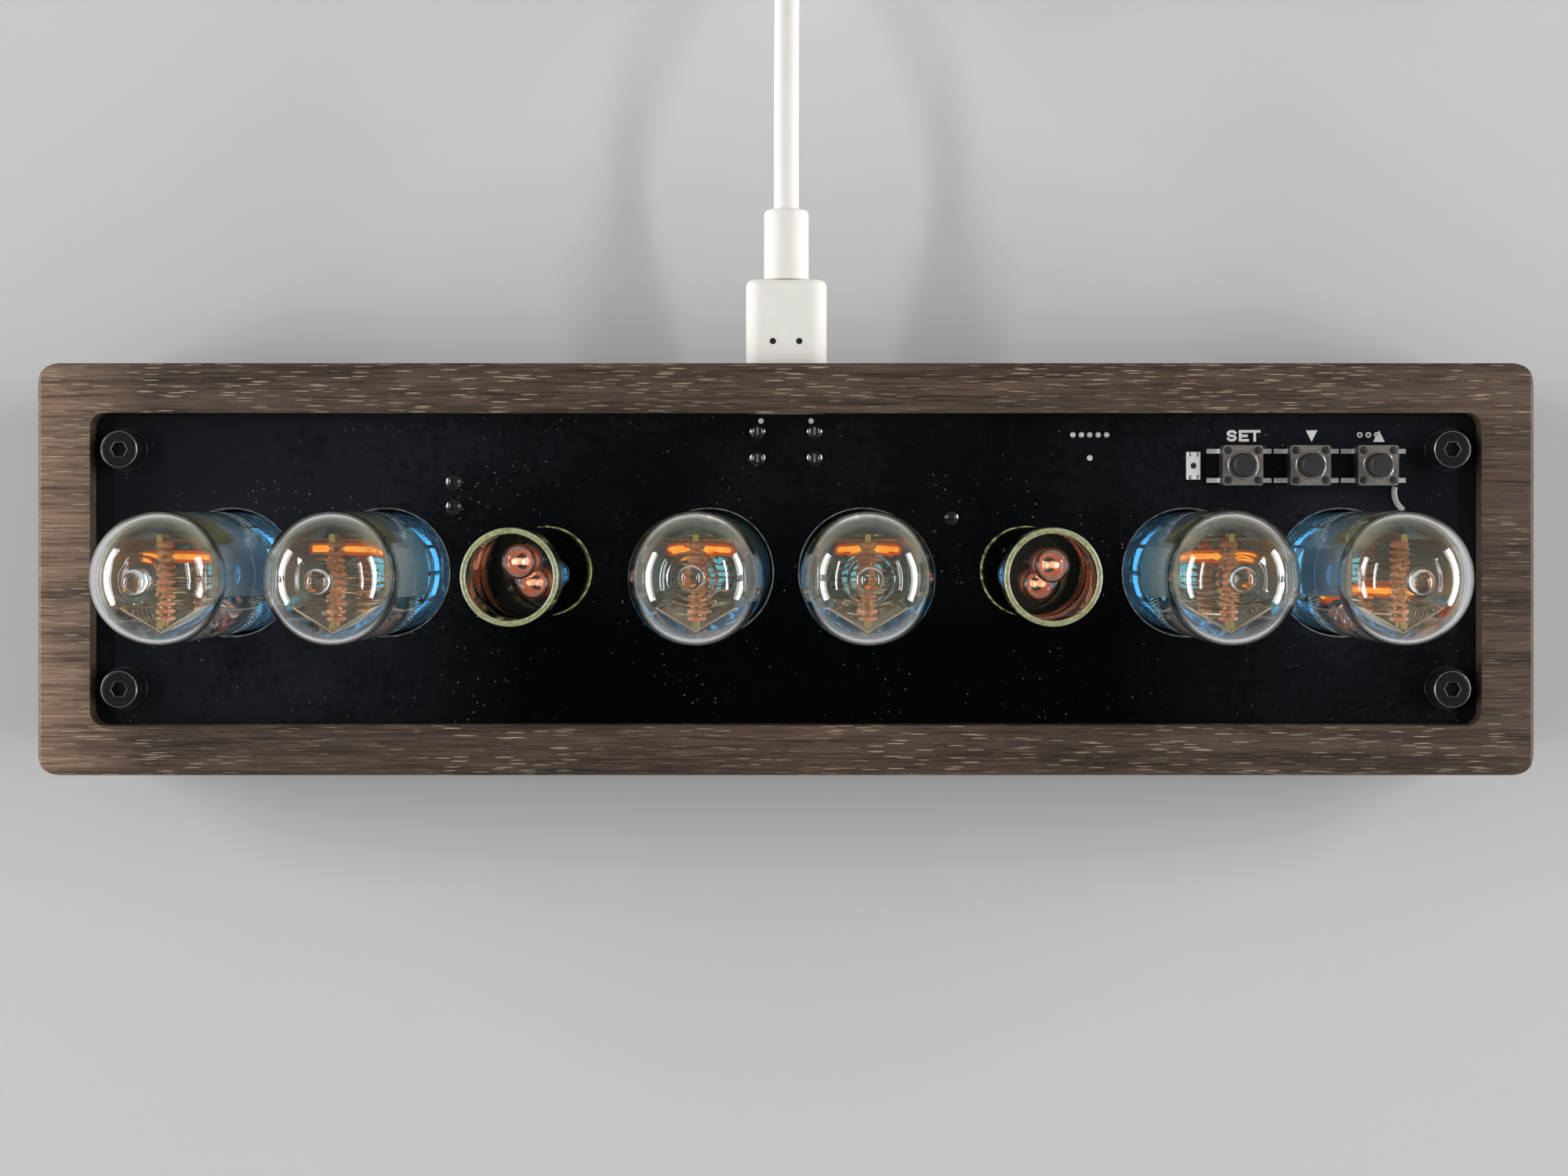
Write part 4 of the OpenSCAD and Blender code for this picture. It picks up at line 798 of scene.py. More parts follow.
class Tree:
    """A small builder for a geometry node tree that ends in Realize Instances and Set Material."""

    def __init__(self, name, **values):
        self.tree = bpy.data.node_groups.new(name, "GeometryNodeTree")
        face = self.tree.interface
        face.new_socket("Geometry", in_out="INPUT", socket_type="NodeSocketGeometry")
        self.ids = {}
        for key in values:
            socket = face.new_socket(key.replace("_", " "), in_out="INPUT", socket_type="NodeSocketFloat")
            self.ids[key] = socket.identifier
        self.values = values
        face.new_socket("Geometry", in_out="OUTPUT", socket_type="NodeSocketGeometry")
        self.input = self.tree.nodes.new("NodeGroupInput")
        self.start = self.input.outputs["Geometry"]

    def value(self, key):
        return self.input.outputs[key.replace("_", " ")]

    def node(self, kind, inputs=(), **attributes):
        return add_node(self.tree, kind, inputs, attributes).outputs[0]

    def apply(self, piece, last, finish):
        """Ends the tree, runs it on a piece and leaves a plain mesh."""
        real = self.node("GeometryNodeRealizeInstances", {"Geometry": last})
        dressed = self.node("GeometryNodeSetMaterial", {"Geometry": real, "Material": FINISHES[finish]})
        exit_node = self.tree.nodes.new("NodeGroupOutput")
        self.tree.links.new(dressed, exit_node.inputs["Geometry"])
        made = piece.modifiers.new(self.tree.name, "NODES")
        made.node_group = self.tree
        for key, value in self.values.items():
            made[self.ids[key]] = value
        return baked(piece)


# ---- operators ----

class CLOCK_OT_camera(bpy.types.Operator):
    """Place the camera straight above the board, where the photograph was taken"""
    bl_idname = "clock.camera"
    bl_label = "Camera"

    height: number("Height", "Height above the board, mm", 337.0)
    pixels_per_mm: number("Scale", "Picture points per mm at the board", 8.42)

    def execute(self, context):
        picture_w, picture_h = 2000, 1500
        # the point straight below the lens: in the picture, and on the board in mm
        eye_px = (1046, 670)
        eye_mm = (5.15, 6.6)
        sensor = 36.0
        lens = bpy.data.cameras.new("camera")
        lens.sensor_width = sensor
        lens.lens = self.pixels_per_mm * self.height * sensor / picture_w
        lens.shift_x = (picture_w / 2 - eye_px[0]) / picture_w
        lens.shift_y = (eye_px[1] - picture_h / 2) / picture_w
        lens.clip_start = 0.01
        eye = bpy.data.objects.new("camera", lens)
        eye.location = Vector((*eye_mm, BOARD_TOP + self.height)) * MM
        context.collection.objects.link(eye)
        context.scene.camera = eye
        return {"FINISHED"}


class CLOCK_OT_cable(bpy.types.Operator):
    """Make the white cable: plug, strain relief, cord, coil tie and supply plug"""
    bl_idname = "clock.cable"
    bl_label = "Cable"

    # points of the cord on its way to the coil, and from the coil to the far plug, in mm
    LEAD = [
        (0, 0, 22.9), (0, 5, 22.9), (0, 12, 22.6), (0, 20, 21.6), (0, 28, 19.5), (0, 36, 16),
        (0, 43.5, 11.8), (0, 51, 7.6), (0, 58, 4.6), (0, 65, 3), (0, 72, 2.5), (0, 77.5, 2.5)]
    TAIL = [
        (8, 0, 0), (14, 0, -1.4), (20, 0, -3.1), (25, -0.6, -4.1), (30.2, -2.4, -4.2),
        (34.6, -5.4, -4), (38, -9.6, -3.5), (40.2, -14.6, -2.9), (41.2, -18.6, -2.7), (41.2, -22, -2.7)]
    coil_y: number("Coil place", "Middle of the coil behind the clock", 136.0)
    coil_low: number("Coil height", "Height of the lower turns' middle", 2.5)
    coil_pitch: number("Coil pitch", "Distance from turn to turn", 4.25)
    coil_inner: number("Coil inside", "Radius of the innermost turn", 15.3)
    coil_turns: number("Coil turns", "Number of turns", 6.25)
    turn_steps: IntProperty(name="Steps", description="Points on a turn", default=48)

    def coil_point(self, t):
        half = self.coil_turns / 2
        reach = self.coil_inner + self.coil_pitch * math.sqrt((t - half) ** 2 + 0.0004)
        a = math.pi - math.tau * t
        u = min(max((t - half) * 2 + 0.5, 0), 1)
        outer = self.coil_inner + self.coil_pitch * half
        return Vector((
            outer + reach * math.cos(a), self.coil_y + reach * math.sin(a),
            self.coil_low + self.coil_pitch * u * u * (3 - 2 * u)))

    def route(self):
        """The whole cord as one line: lead, coil and tail."""
        start = span("strain_relief")[1].y
        height = (PLUG_LOW.z + PLUG_HIGH.z) / 2
        outer = self.coil_inner + self.coil_pitch * self.coil_turns / 2
        upper = self.coil_low + self.coil_pitch
        first, last = self.LEAD[0], self.LEAD[-1]
        stretch = (self.coil_y - sizes().cord_diameter - start) / last[1]
        drop = (height - first[2]) / (first[2] - self.coil_low)
        lead = [(x, start + y * stretch, z + drop * (z - self.coil_low)) for x, y, z in self.LEAD]
        count = int(self.coil_turns * self.turn_steps)
        coil = [self.coil_point(i / self.turn_steps) for i in range(count + 1)]
        first, last = self.TAIL[0], self.TAIL[-1]
        rise = ((SUPPLY_LOW.z + SUPPLY_HIGH.z) / 2 - upper - last[2]) / (last[0] - first[0])
        tail = [self.coil_point(self.coil_turns) + Vector((sizes().cord_diameter, 0, 0))]
        tail += [
            (outer + x, self.coil_y + outer + y, upper + z + rise * (x - first[0])) for x, y, z in self.TAIL]
        return catmull(lead, 5) + coil + catmull(tail, 5)

    def dimples(self, name, low, high, radius):
        """Two upright discs in the plug's top, between two depths."""
        shape = Shape()
        y = span("case_frame")[1].y + 3.5
        for x in (-2, 2):
            shape.lathe([(0, low), (radius, low), (radius, high), (0, high)], (x, y, PLUG_HIGH.z), 24)
        return shape.object(name, "dark_spot")

    def plug(self):
        size = PLUG_HIGH - PLUG_LOW
        middle_z = (PLUG_LOW.z + PLUG_HIGH.z) / 2
        plug = Shape().bar(size.x, size.z, 2.8, 0.4, PLUG_LOW.y, PLUG_HIGH.y, 0, middle_z, rear=1.1)
        plug = plug.object("cable_plug_moulding", "cable_white")
        carve(plug, self.dimples("dimple_cutter", -0.45, 1, 0.5))
        smooth(plug, 40)
        spots = fit(self.dimples("cable_plug_dimples", -0.44, -0.36, 0.49))
        return in_place_of(plug, "cable_white", "cable_plug"), spots

    def relief(self):
        low, high = span("strain_relief")
        radius = (high.x - low.x) / 2
        middle_z = (PLUG_LOW.z + PLUG_HIGH.z) / 2
        profile = [(0, low.y), (radius, low.y), (radius, high.y - 0.8)]
        profile += [
            (radius - 0.5 + 0.5 * math.cos(a), high.y - 0.8 + 0.8 * math.sin(a))
            for a in (0.4, 0.8, 1.2, 1.5)]
        profile += [(sizes().cord_diameter / 2 - 0.05, high.y), (0, high.y - 0.6)]
        relief = Shape().lathe(profile, steps=48)
        relief.points = [Vector((p.x, p.z, middle_z - p.y)) for p in relief.points]
        relief = relief.object("strain_relief_moulding", "cable_white")
        return in_place_of(relief, "cable_white", "strain_relief")

    def supply(self):
        """The far plug's body, with a collar for the cord."""
        neck = 8
        centre = (SUPPLY_LOW + SUPPLY_HIGH) / 2
        size = SUPPLY_HIGH - SUPPLY_LOW
        shape = Shape().bar(
            size.x, size.z, 2, 0.5, SUPPLY_LOW.y, SUPPLY_HIGH.y - neck, centre.x, centre.z, rear=1.5)
        collar = Shape().lathe(
            [(0, 0), (3.0, 0), (2.9, 3), (2.6, 6), (2.35, neck - 0.3), (2.0, neck), (0, neck)], steps=40)
        turned = [(centre.x + p.x, SUPPLY_HIGH.y - neck + p.z, centre.z - p.y) for p in collar.points]
        shape.add(turned, collar.faces)
        supply = shape.object("supply_plug_moulding", "cable_white")
        return in_place_of(supply, "cable_white", "supply_plug")

    def execute(self, context):
        size = sizes()
        plug, spots = self.plug()
        relief = self.relief()
        line = self.route()
        cord = Shape().sweep(line, size.cord_diameter / 2, 16).object("usb_cord", "cable_white", 60)
        in_place_of(cord, "cable_white", "cord_lead", "cord_coil", "cord_tail")
        supply = self.supply()
        tie = softened("coil_tie", "tie_fabric", 0.2, name="coil_strap")
        for node in ("cable_plug_shell", "supply_plug_shell"):
            finish_node(node, "steel")
        return {"FINISHED"}


class CLOCK_OT_case(bpy.types.Operator):
    """Make the wooden case, its cover, feet, inserts and screws"""
    bl_idname = "clock.case"
    bl_label = "Case"

    def execute(self, context):
        softened("case_frame", "walnut", sizes().edge, 3, "wooden_case")
        softened("bottom_cover", "black_acrylic", 0.2)
        softened("rubber_feet", "foot_rubber", 0.4, 3)
        finish_node("cover_screws", "black_steel")
        finish_node("threaded_inserts", "brass")
        softened("washers", "black_steel", 0.08)
        softened("corner_screws", "black_steel", 0.14, 3)
        self.glint_rings()
        return {"FINISHED"}

    def glint_rings(self):
        """Bright metal rings on the screw heads' rims and round their sockets: painted glints on the black
        screws.
        """
        low, high = span("corner_screws")
        head, socket = 2.8, 1.25
        rim = [(head - 0.2, 0.01), (head - 0.05, -0.12), (head - 0.22, -0.12)]
        socket_rim = [(socket + 0.12, 0.01), (socket + 0.12, -0.1), (socket - 0.06, -0.14)]
        edges = Shape()
        for x in (low.x + head, high.x - head):
            for y in (low.y + head, high.y - head):
                # painted highlight: rings of bright metal on each rim, in place of glints
                edges.lathe(rim, (x, y, high.z), 48, closed=True)
                edges.lathe(socket_rim, (x, y, high.z), 6, closed=True)
        fit(edges.object("screw_glint_rings", "painted_glint_metal", 30))


class CLOCK_OT_boards(bpy.types.Operator):
    """Make the two boards, what is soldered to them, and the white marks"""
    bl_idname = "clock.boards"
    bl_label = "Boards"

    PLAIN = {
        "tube_board": "green_board", "board_spacers": "brass", "spacer_screws": "steel",
        "board_header": "black_plastic", "header_pins": "solder_dot", "usb_receptacle": "steel",
        "contact_pads": "solder_dot", "sensor_wire": "wire_sleeve",
        "underlights": "blue_light", "controller_chip": "black_plastic", "driver_chips": "black_plastic",
        "inductor": "black_plastic", "reservoir_capacitor": "blue_sleeve", "cell_holder": "black_plastic",
        "backup_cell": "steel", "lead_spacers": "spacer_plastic"}

    def letters(self, ink, top):
        """The three plain letters beside the first switch, drawn as wide strokes."""
        stroke = 0.4
        tall = sizes().letter_height - stroke
        y = SWITCHES[0].y + 4.55
        left = SWITCHES[0].x - 1.65
        wide = 1.12
        bend, half = tall / 4, wide / 2
        turn = [math.radians(20 + 250 * k / 12) for k in range(13)]
        s_line = [(half + half * math.cos(a), tall - bend + bend * math.sin(a)) for a in turn]
        s_line += [(half - half * math.cos(a), bend - bend * math.sin(a)) for a in reversed(turn[:-1])]
        e_lines = [
            [(wide, tall), (0, tall), (0, 0), (wide, 0)], [(stroke, tall / 2), (wide * 0.85, tall / 2)]]
        t_lines = [[(0, tall), (wide + 0.2, tall)], [(half + 0.1, tall - stroke), (half + 0.1, 0)]]
        glyphs = [(0, [s_line]), (wide + 0.72, e_lines), (2 * wide + 1.15, t_lines)]
        for shift, strokes in glyphs:
            for line in strokes:
                self.ribbon(ink, [(left + shift + px, y - tall / 2 + py) for px, py in line], stroke, top)

    def ribbon(self, ink, line, width, top):
        """A flat printed stroke with mitred bends."""
        line = [Vector(p) for p in line]
        rings = []
        for i, point in enumerate(line):
            before = (point - line[max(i - 1, 0)]).normalized() if i else None
            after = (line[i + 1] - point).normalized() if i + 1 < len(line) else None
            ahead = ((before or after) + (after or before)).normalized()
            spread = 1 / max(ahead.dot(before or after), 0.5)
            across = Vector((-ahead.y, ahead.x)) * width / 2 * spread
            if before is None or after is None:
                point = point + ahead * (width / 2 if after is None else -width / 2)
            rings.append([
                (point.x + k * across.x, point.y + k * across.y, z)
                for k, z in ((1, top), (-1, top), (-1, top + 0.02), (1, top + 0.02))])
        ink.loft(rings)

    def arrow(self, ink, x, y, up, top):
        half = sizes().letter_height / 2
        points = [(-half, -half * up), (half, -half * up), (0, half * up)]
        if up < 0:
            points = [points[1], points[0], points[2]]
        ink.prism([(x + px, y + py) for px, py in points], top, top + 0.02)

    def execute(self, context):
        softened("top_board", "black_board", 0.1)
        for node, finish in self.PLAIN.items():
            finish_node(node, finish)
        finish_node("solder_joints", "black_lacquer")
        ink = Shape()
        top = BOARD_TOP + 0.005
        self.letters(ink, top)
        self.arrow(ink, SWITCHES[1].x + 0.85, SWITCHES[1].y + 4.5, -1, top)
        self.arrow(ink, SWITCHES[2].x + 0.9, SWITCHES[2].y + 4.5, 1, top)
        fit(ink.object("white_marks", "ink"))
        self.pin_joints()
        self.light_sensor()
        return {"FINISHED"}

    def light_sensor(self):
        """White body with a dark window and tinned ends."""
        softened("light_sensor", "white_plastic", 0.08)
        low, high = span("light_sensor")
        x, y, top = (low.x + high.x) / 2, (low.y + high.y) / 2, high.z
        window = Shape().lathe([(0, -0.19), (0.42, -0.19), (0.42, -0.15), (0, -0.15)], (x, y, top), 24)
        fit(window.object("sensor_window", "dark_spot"))
        ends = Shape()
        for side in (-1, 1):
            for dx in (-0.55, 0.55):
                ends.bar(0.5, 0.16, 0.07, 0.05, y + side * 1.75 - 0.3, y + side * 1.75 + 0.3, x + dx, top)
        fit(ends.object("sensor_ends", "tin"))

    def pin_joints(self):
        """Tinned cones round the header's pins, one instance a pin."""
        low, high = span("header_pins")
        count, inset = 5, 0.2
        places = Shape()
        places.points = [Vector((
            low.x + inset + (high.x - low.x - 2 * inset) * i / (count - 1), (low.y + high.y) / 2, BOARD_TOP))
            for i in range(count)]
        dots = places.object("pin_joints", "solder_dot")
        tree = Tree("solder_cone", Foot_radius=0.43 * MM, Top_radius=0.2 * MM, Height=0.36 * MM)
        cone = tree.node("GeometryNodeMeshCone", {
            "Vertices": 20, "Depth": tree.value("Height"),
            "Radius Bottom": tree.value("Foot_radius"), "Radius Top": tree.value("Top_radius")})
        placed = tree.node("GeometryNodeInstanceOnPoints", {"Points": tree.start, "Instance": cone})
        fit(tree.apply(dots, placed, "solder_dot"))


class CLOCK_OT_switches(bpy.types.Operator):
    """Make the three push switches with their moving plungers"""
    bl_idname = "clock.switches"
    bl_label = "Switches"

    def execute(self, context):
        softened("switch_bases", "black_plastic", 0.08)
        softened("switch_covers", "switch_sheet", 0.16, 3)
        rings = Shape()
        section = circle(2.2, span("switch_covers")[1].z, 0.11, 10, 0.07)
        for at in SWITCHES:
            rings.lathe(section, (at.x, at.y, 0), 40, closed=True)
        fit(rings.object("switch_rings", "tin"))
        finish_node("switch_domes", "steel")
        finish_node("switch_terminals", "solder_dot")
        for node, body in BUTTONS.items():
            softened(node, "black_plastic", 0.12, 3, body=body)
        return {"FINISHED"}


class CLOCK_OT_tubes(bpy.types.Operator):
    """Make the six indicator tubes: glass, metal film, mesh and inner parts"""
    bl_idname = "clock.tubes"
    bl_label = "Tubes"

    TIP_HEIGHT = 3.2

    # how far each hand-drawn tip leans off the axis, in mm
    TIP_LEAN = [(-0.5, -0.4), (0.2, -0.3), (-0.1, 0.35), (0.1, 0), (-0.35, 0.1), (-0.3, -0.4)]

    # rings in the drawn glass round the tip: share of the radius, and height in mm
    RIPPLES = [(0.33, 0.05), (0.48, 0.012)]

    def glass(self, number, at, lean):
        size = sizes()
        r, wall, rise = TUBE_R, size.glass_wall, size.shoulder
        tip_r = size.tip_width / 2
        shoulder_z = TUBE_TOP - self.TIP_HEIGHT - rise
        outer = [(r, TUBE_FOOT + 0.3), (r, shoulder_z - 4)]
        for degree in list(range(0, 40, 4)) + list(range(40, 80)):
            a = math.radians(degree)
            radius = r * math.cos(a)
            ripple = sum(
                high * math.exp(-((radius - place * r) / 0.3) ** 2) for place, high in self.RIPPLES)
            outer.append((radius, shoulder_z + rise * math.sin(a) + ripple))
        neck_z = outer[-1][1]
        tip = [(tip_r * 0.86, neck_z + 0.35), (tip_r * 0.84, neck_z + 0.8), (tip_r * 0.98, neck_z + 1.3)]
        tip += arc(0, neck_z + 1.7, tip_r, 0, 90, 6, TUBE_TOP - neck_z - 1.7)
        inner = arc(0, shoulder_z, r - wall, 90, 0, 16, rise - wall)
        foot = [(r - wall, TUBE_FOOT), (r - 0.3, TUBE_FOOT)]

        def shift(height):
            share = min(max((height - shoulder_z - 2) / (TUBE_TOP - shoulder_z - 2), 0), 1)
            return lean[0] * share * share, lean[1] * share * share

        shape = Shape().lathe(foot + outer + tip, (at.x, at.y, 0), 96, lean=shift)
        shape.lathe(inner + [(r - wall, TUBE_FOOT)], (at.x, at.y, 0), 96)
        in_place_of(
            shape.object(f"envelope_{number}", "tube_glass", 60), "tube_glass", f"tube_glass_{number}")

    def film(self):
        """The olive patch inside each dome, at the back."""
        size = sizes()
        inset = size.glass_wall + 0.12
        rise, r = size.shoulder - inset, TUBE_R - inset
        shoulder_z = TUBE_TOP - self.TIP_HEIGHT - size.shoulder
        # its edges: heights from the shoulder in mm, and angles round the tube in degrees
        low, high, first, last = -13, 6, 32, 148
        across, along = 24, 12
        shape = Shape()
        for at in TUBES:
            points = []
            for j in range(along + 1):
                height = low + (high - low) * j / along
                radius = r * math.cos(math.asin(max(height, 0) / rise))
                line = arc(at.x, at.y, radius, first, last, across)
                points += [(x, y, shoulder_z + height) for x, y in line]
            shape.add(points, [
                [k, k + 1, k + across + 2, k + across + 1]
                for j in range(along) for k in range(j * (across + 1), j * (across + 1) + across)])
        fit(shape.object("getter_films", "getter"))

    def mesh(self):
        """Hexagonal wire mesh in front of each stack of digits."""
        size = sizes()
        # the sheet is bent to a V: half its width, and how far its point and its ends lie in front
        half, tip, back = 5.4, 7.34, 4.04
        low, high = MICA_LOW + 0.3, MICA_HIGH - 0.3
        cell = size.mesh_cell
        rows = int((high - low) / (cell * 0.866))
        columns = 2 * int(math.hypot(half, tip - back) / cell)
        sheet = Shape()
        for at in TUBES:
            points, faces = [], []
            for j in range(rows + 1):
                for i in range(columns + 1):
                    u = min(max((i + (0.5 if j % 2 else 0)) / columns, 0), 1) * 2 - 1
                    points.append((
                        at.x + half * u, at.y - tip + (tip - back) * abs(u), low + (high - low) * j / rows))
            for j in range(rows):
                for i in range(columns):
                    a = j * (columns + 1) + i
                    b = a + columns + 1
                    if j % 2:
                        faces += [[a, b + 1, b], [a, a + 1, b + 1]]
                    else:
                        faces += [[a, a + 1, b], [a + 1, b + 1, b]]
            sheet.add(points, faces)
        net = sheet.object("anode_mesh_wires", "mesh_metal")
        tree = Tree("hexagon_mesh", Wire_radius=size.mesh_wire * MM)
        dual = tree.node("GeometryNodeDualMesh", {"Mesh": tree.start})
        lines = tree.node("GeometryNodeMeshToCurve", {"Mesh": dual})
        profile = tree.node("GeometryNodeCurvePrimitiveCircle", {
            "Resolution": 4, "Radius": tree.value("Wire_radius")})
        wires = tree.node("GeometryNodeCurveToMesh", {
            "Curve": lines, "Profile Curve": profile, "Fill Caps": True})
        net = tree.apply(net, wires, "mesh_metal")
        edges = Shape()
        for at in TUBES:
            bends = [(at.x - half, at.y - back), (at.x, at.y - tip), (at.x + half, at.y - back)]
            for x, y in bends:
                edges.sweep([(x, y, low), (x, y, high)], 0.16, 8)
            for z in (low, high):
                edges.sweep([(x, y, z) for x, y in bends], 0.15, 8)
        frames = edges.object("anode_mesh_frames", "frame_sheet")
        fit(net)
        in_place_of(frames, "mesh_metal", "anode_meshes")

    def beads(self):
        """The two rods of each tube with barrel-shaped spacer beads."""
        size = sizes()
        low, high = span("digit_rods")
        radius, rod, gap = 1.3, 0.45, 0.15
        front, back = low.y - TUBES[0].y, high.y - TUBES[0].y
        rear = 5.2
        edges = [rear] + [size.first_digit - i * size.digit_pitch for i in range(10)]
        edges.append(edges[-1] - size.digit_pitch)
        profile = [(0, back), (rod, back)]
        for b, a in zip(edges, edges[1:]):
            wide = b - a
            profile += [
                (rod, b - gap), (radius * 0.72, b - gap), (radius, b - wide * 0.36),
                (radius, b - wide * 0.64), (radius * 0.72, a + gap), (rod, a + gap)]
        profile += [(rod, front), (0, front)]
        part = Shape().lathe(profile, steps=24)
        shape = Shape()
        for at in TUBES:
            for z in (low.z + radius, high.z - radius):
                shape.add([(at.x + p.x, at.y + p.z, z - p.y) for p in part.points], part.faces)
        in_place_of(shape.object("spacer_beads", "ceramic", 50), "ceramic", "digit_rods")

    def tabs(self):
        """Small bent tabs that hold the upper mica plates at the rods' ends."""
        shape = Shape()
        wide, narrow = 0.42, 0.36
        for at in TUBES:
            for low, high in ((4.9, 5.9), (-6.8, -5.9)):
                corners = ((-wide, low), (wide, low), (narrow, high), (-narrow, high))
                shape.loft([
                    [(at.x + x, at.y + y, MICA_HIGH + z) for x, y in corners]
                    for z in (0.02, 0.22, 0.34)])
        fit(shape.object("mica_tabs", "tab_sheet"))

    def feet(self):
        """The flare inside each foot, with its blue light painted on, and a painted glint: a grey line on
        the edge of the hole round it.
        """
        inner = TUBE_R - sizes().glass_wall - 0.1
        flare = [(inner - 1.7, TUBE_FOOT + 0.5), (inner - 0.7, TUBE_FOOT + 1.3), (inner, TUBE_FOOT + 3.4)]
        flares, lines = Shape(), Shape()
        for at in TUBES:
            flares.lathe(flare, (at.x, at.y, 0), 72)
            # painted highlight: a grey ring on the hole's edge in place of its glint
            lines.lathe(circle(TUBE_R + 0.6, BOARD_TOP, 0.09, 6), (at.x, at.y, 0), 96, closed=True)
        fit(lines.object("hole_edge_glints", "painted_hole_glint"))
        fit(flares.object("stem_flares", "stem_flare"))

    def execute(self, context):
        self.tabs()
        self.feet()
        for number, (at, lean) in enumerate(zip(TUBES, self.TIP_LEAN), 1):
            self.glass(number, at, lean)
        self.film()
        self.mesh()
        self.beads()
        for node, finish in (
                ("tube_stems", "stem_glass"), ("tube_leads", "tin"), ("digit_cathodes", "digit_metal"),
                ("mica_plates", "mica"), ("back_shields", "shield_sheet"), ("getter_rings", "steel")):
            finish_node(node, finish)
        return {"FINISHED"}


class CLOCK_OT_lit_digits(bpy.types.Operator):
    """Light one digit in each tube"""
    bl_idname = "clock.lit_digits"
    bl_label = "Lit digits"

    ORDER = [3, 2, 8, 9, 4, 0, 6, 7, 5, 1]
    shown: StringProperty(name="Shown", description="The six digits that are lit", default="233326")

    def lines(self, digit):
        """The lit wire's strokes, as in the digit's sheet."""
        size = sizes()
        h = size.digit_height / 2 - size.digit_line / 2
        w = size.digit_height / 4
        up, across = w * math.sin(0.21), w * math.cos(0.21)
        return {
            0: [arc(0, h - w, w, 0, 180) + arc(0, w - h, w, 180, 360) + [(w, h - w)]],
            1: [[(0, -h), (0, h), (-w * 0.6, h - w * 0.6)]],
            2: [arc(0, h - w, w, 165, -20) + [(-w, -h), (w, -h)]],
            3: [arc(0, h - w * 0.95, w * 0.95, 155, -90), arc(0, w * 1.01 - h, w * 1.01, 90, -155)],
            4: [[(w * 0.55, -h), (w * 0.55, h), (-w, -h * 0.4), (w, -h * 0.4)]],
            5: [[(w * 0.85, h), (-w * 0.8, h), (-w * 0.8, 0)],
                arc(-0.05 * w, w * 1.08 - h, w * 1.08, 135, -155)],
            6: [arc(0, w - h, w, 0, 360), [(-across, w - h + up), (w * 0.5, h)]],
            7: [[(-w, h), (w, h), (-w * 0.35, -h)]],
            8: [arc(0, h - w * 0.92, w * 0.92, 0, 360), arc(0, w * 1.04 - h, w * 1.04, 0, 360)],
            9: [arc(0, h - w, w, 0, 360), [(across, h - w - up), (-w * 0.5, -h)]],
        }[digit]

    def execute(self, context):
        size = sizes()
        height = middle("digit_cathodes").z
        for number, (at, digit) in enumerate(zip(TUBES, self.shown), 1):
            y = at.y + size.first_digit - self.ORDER.index(int(digit)) * size.digit_pitch
            glow, haze = Shape(), Shape()
            for line in self.lines(int(digit)):
                wire = [(at.x + x, y, height + z) for x, z in line]
                glow.sweep(wire, size.glow_line / 2, 10)
                for share in (0.55, 0.76, 1):
                    haze.sweep(wire, size.haze_line / 2 * share, 12)
            fit(glow.object(f"lit_digit_{number}", "lit_digit", 60))
            fit(haze.object(f"digit_haze_{number}", "digit_haze", 60))
        return {"FINISHED"}


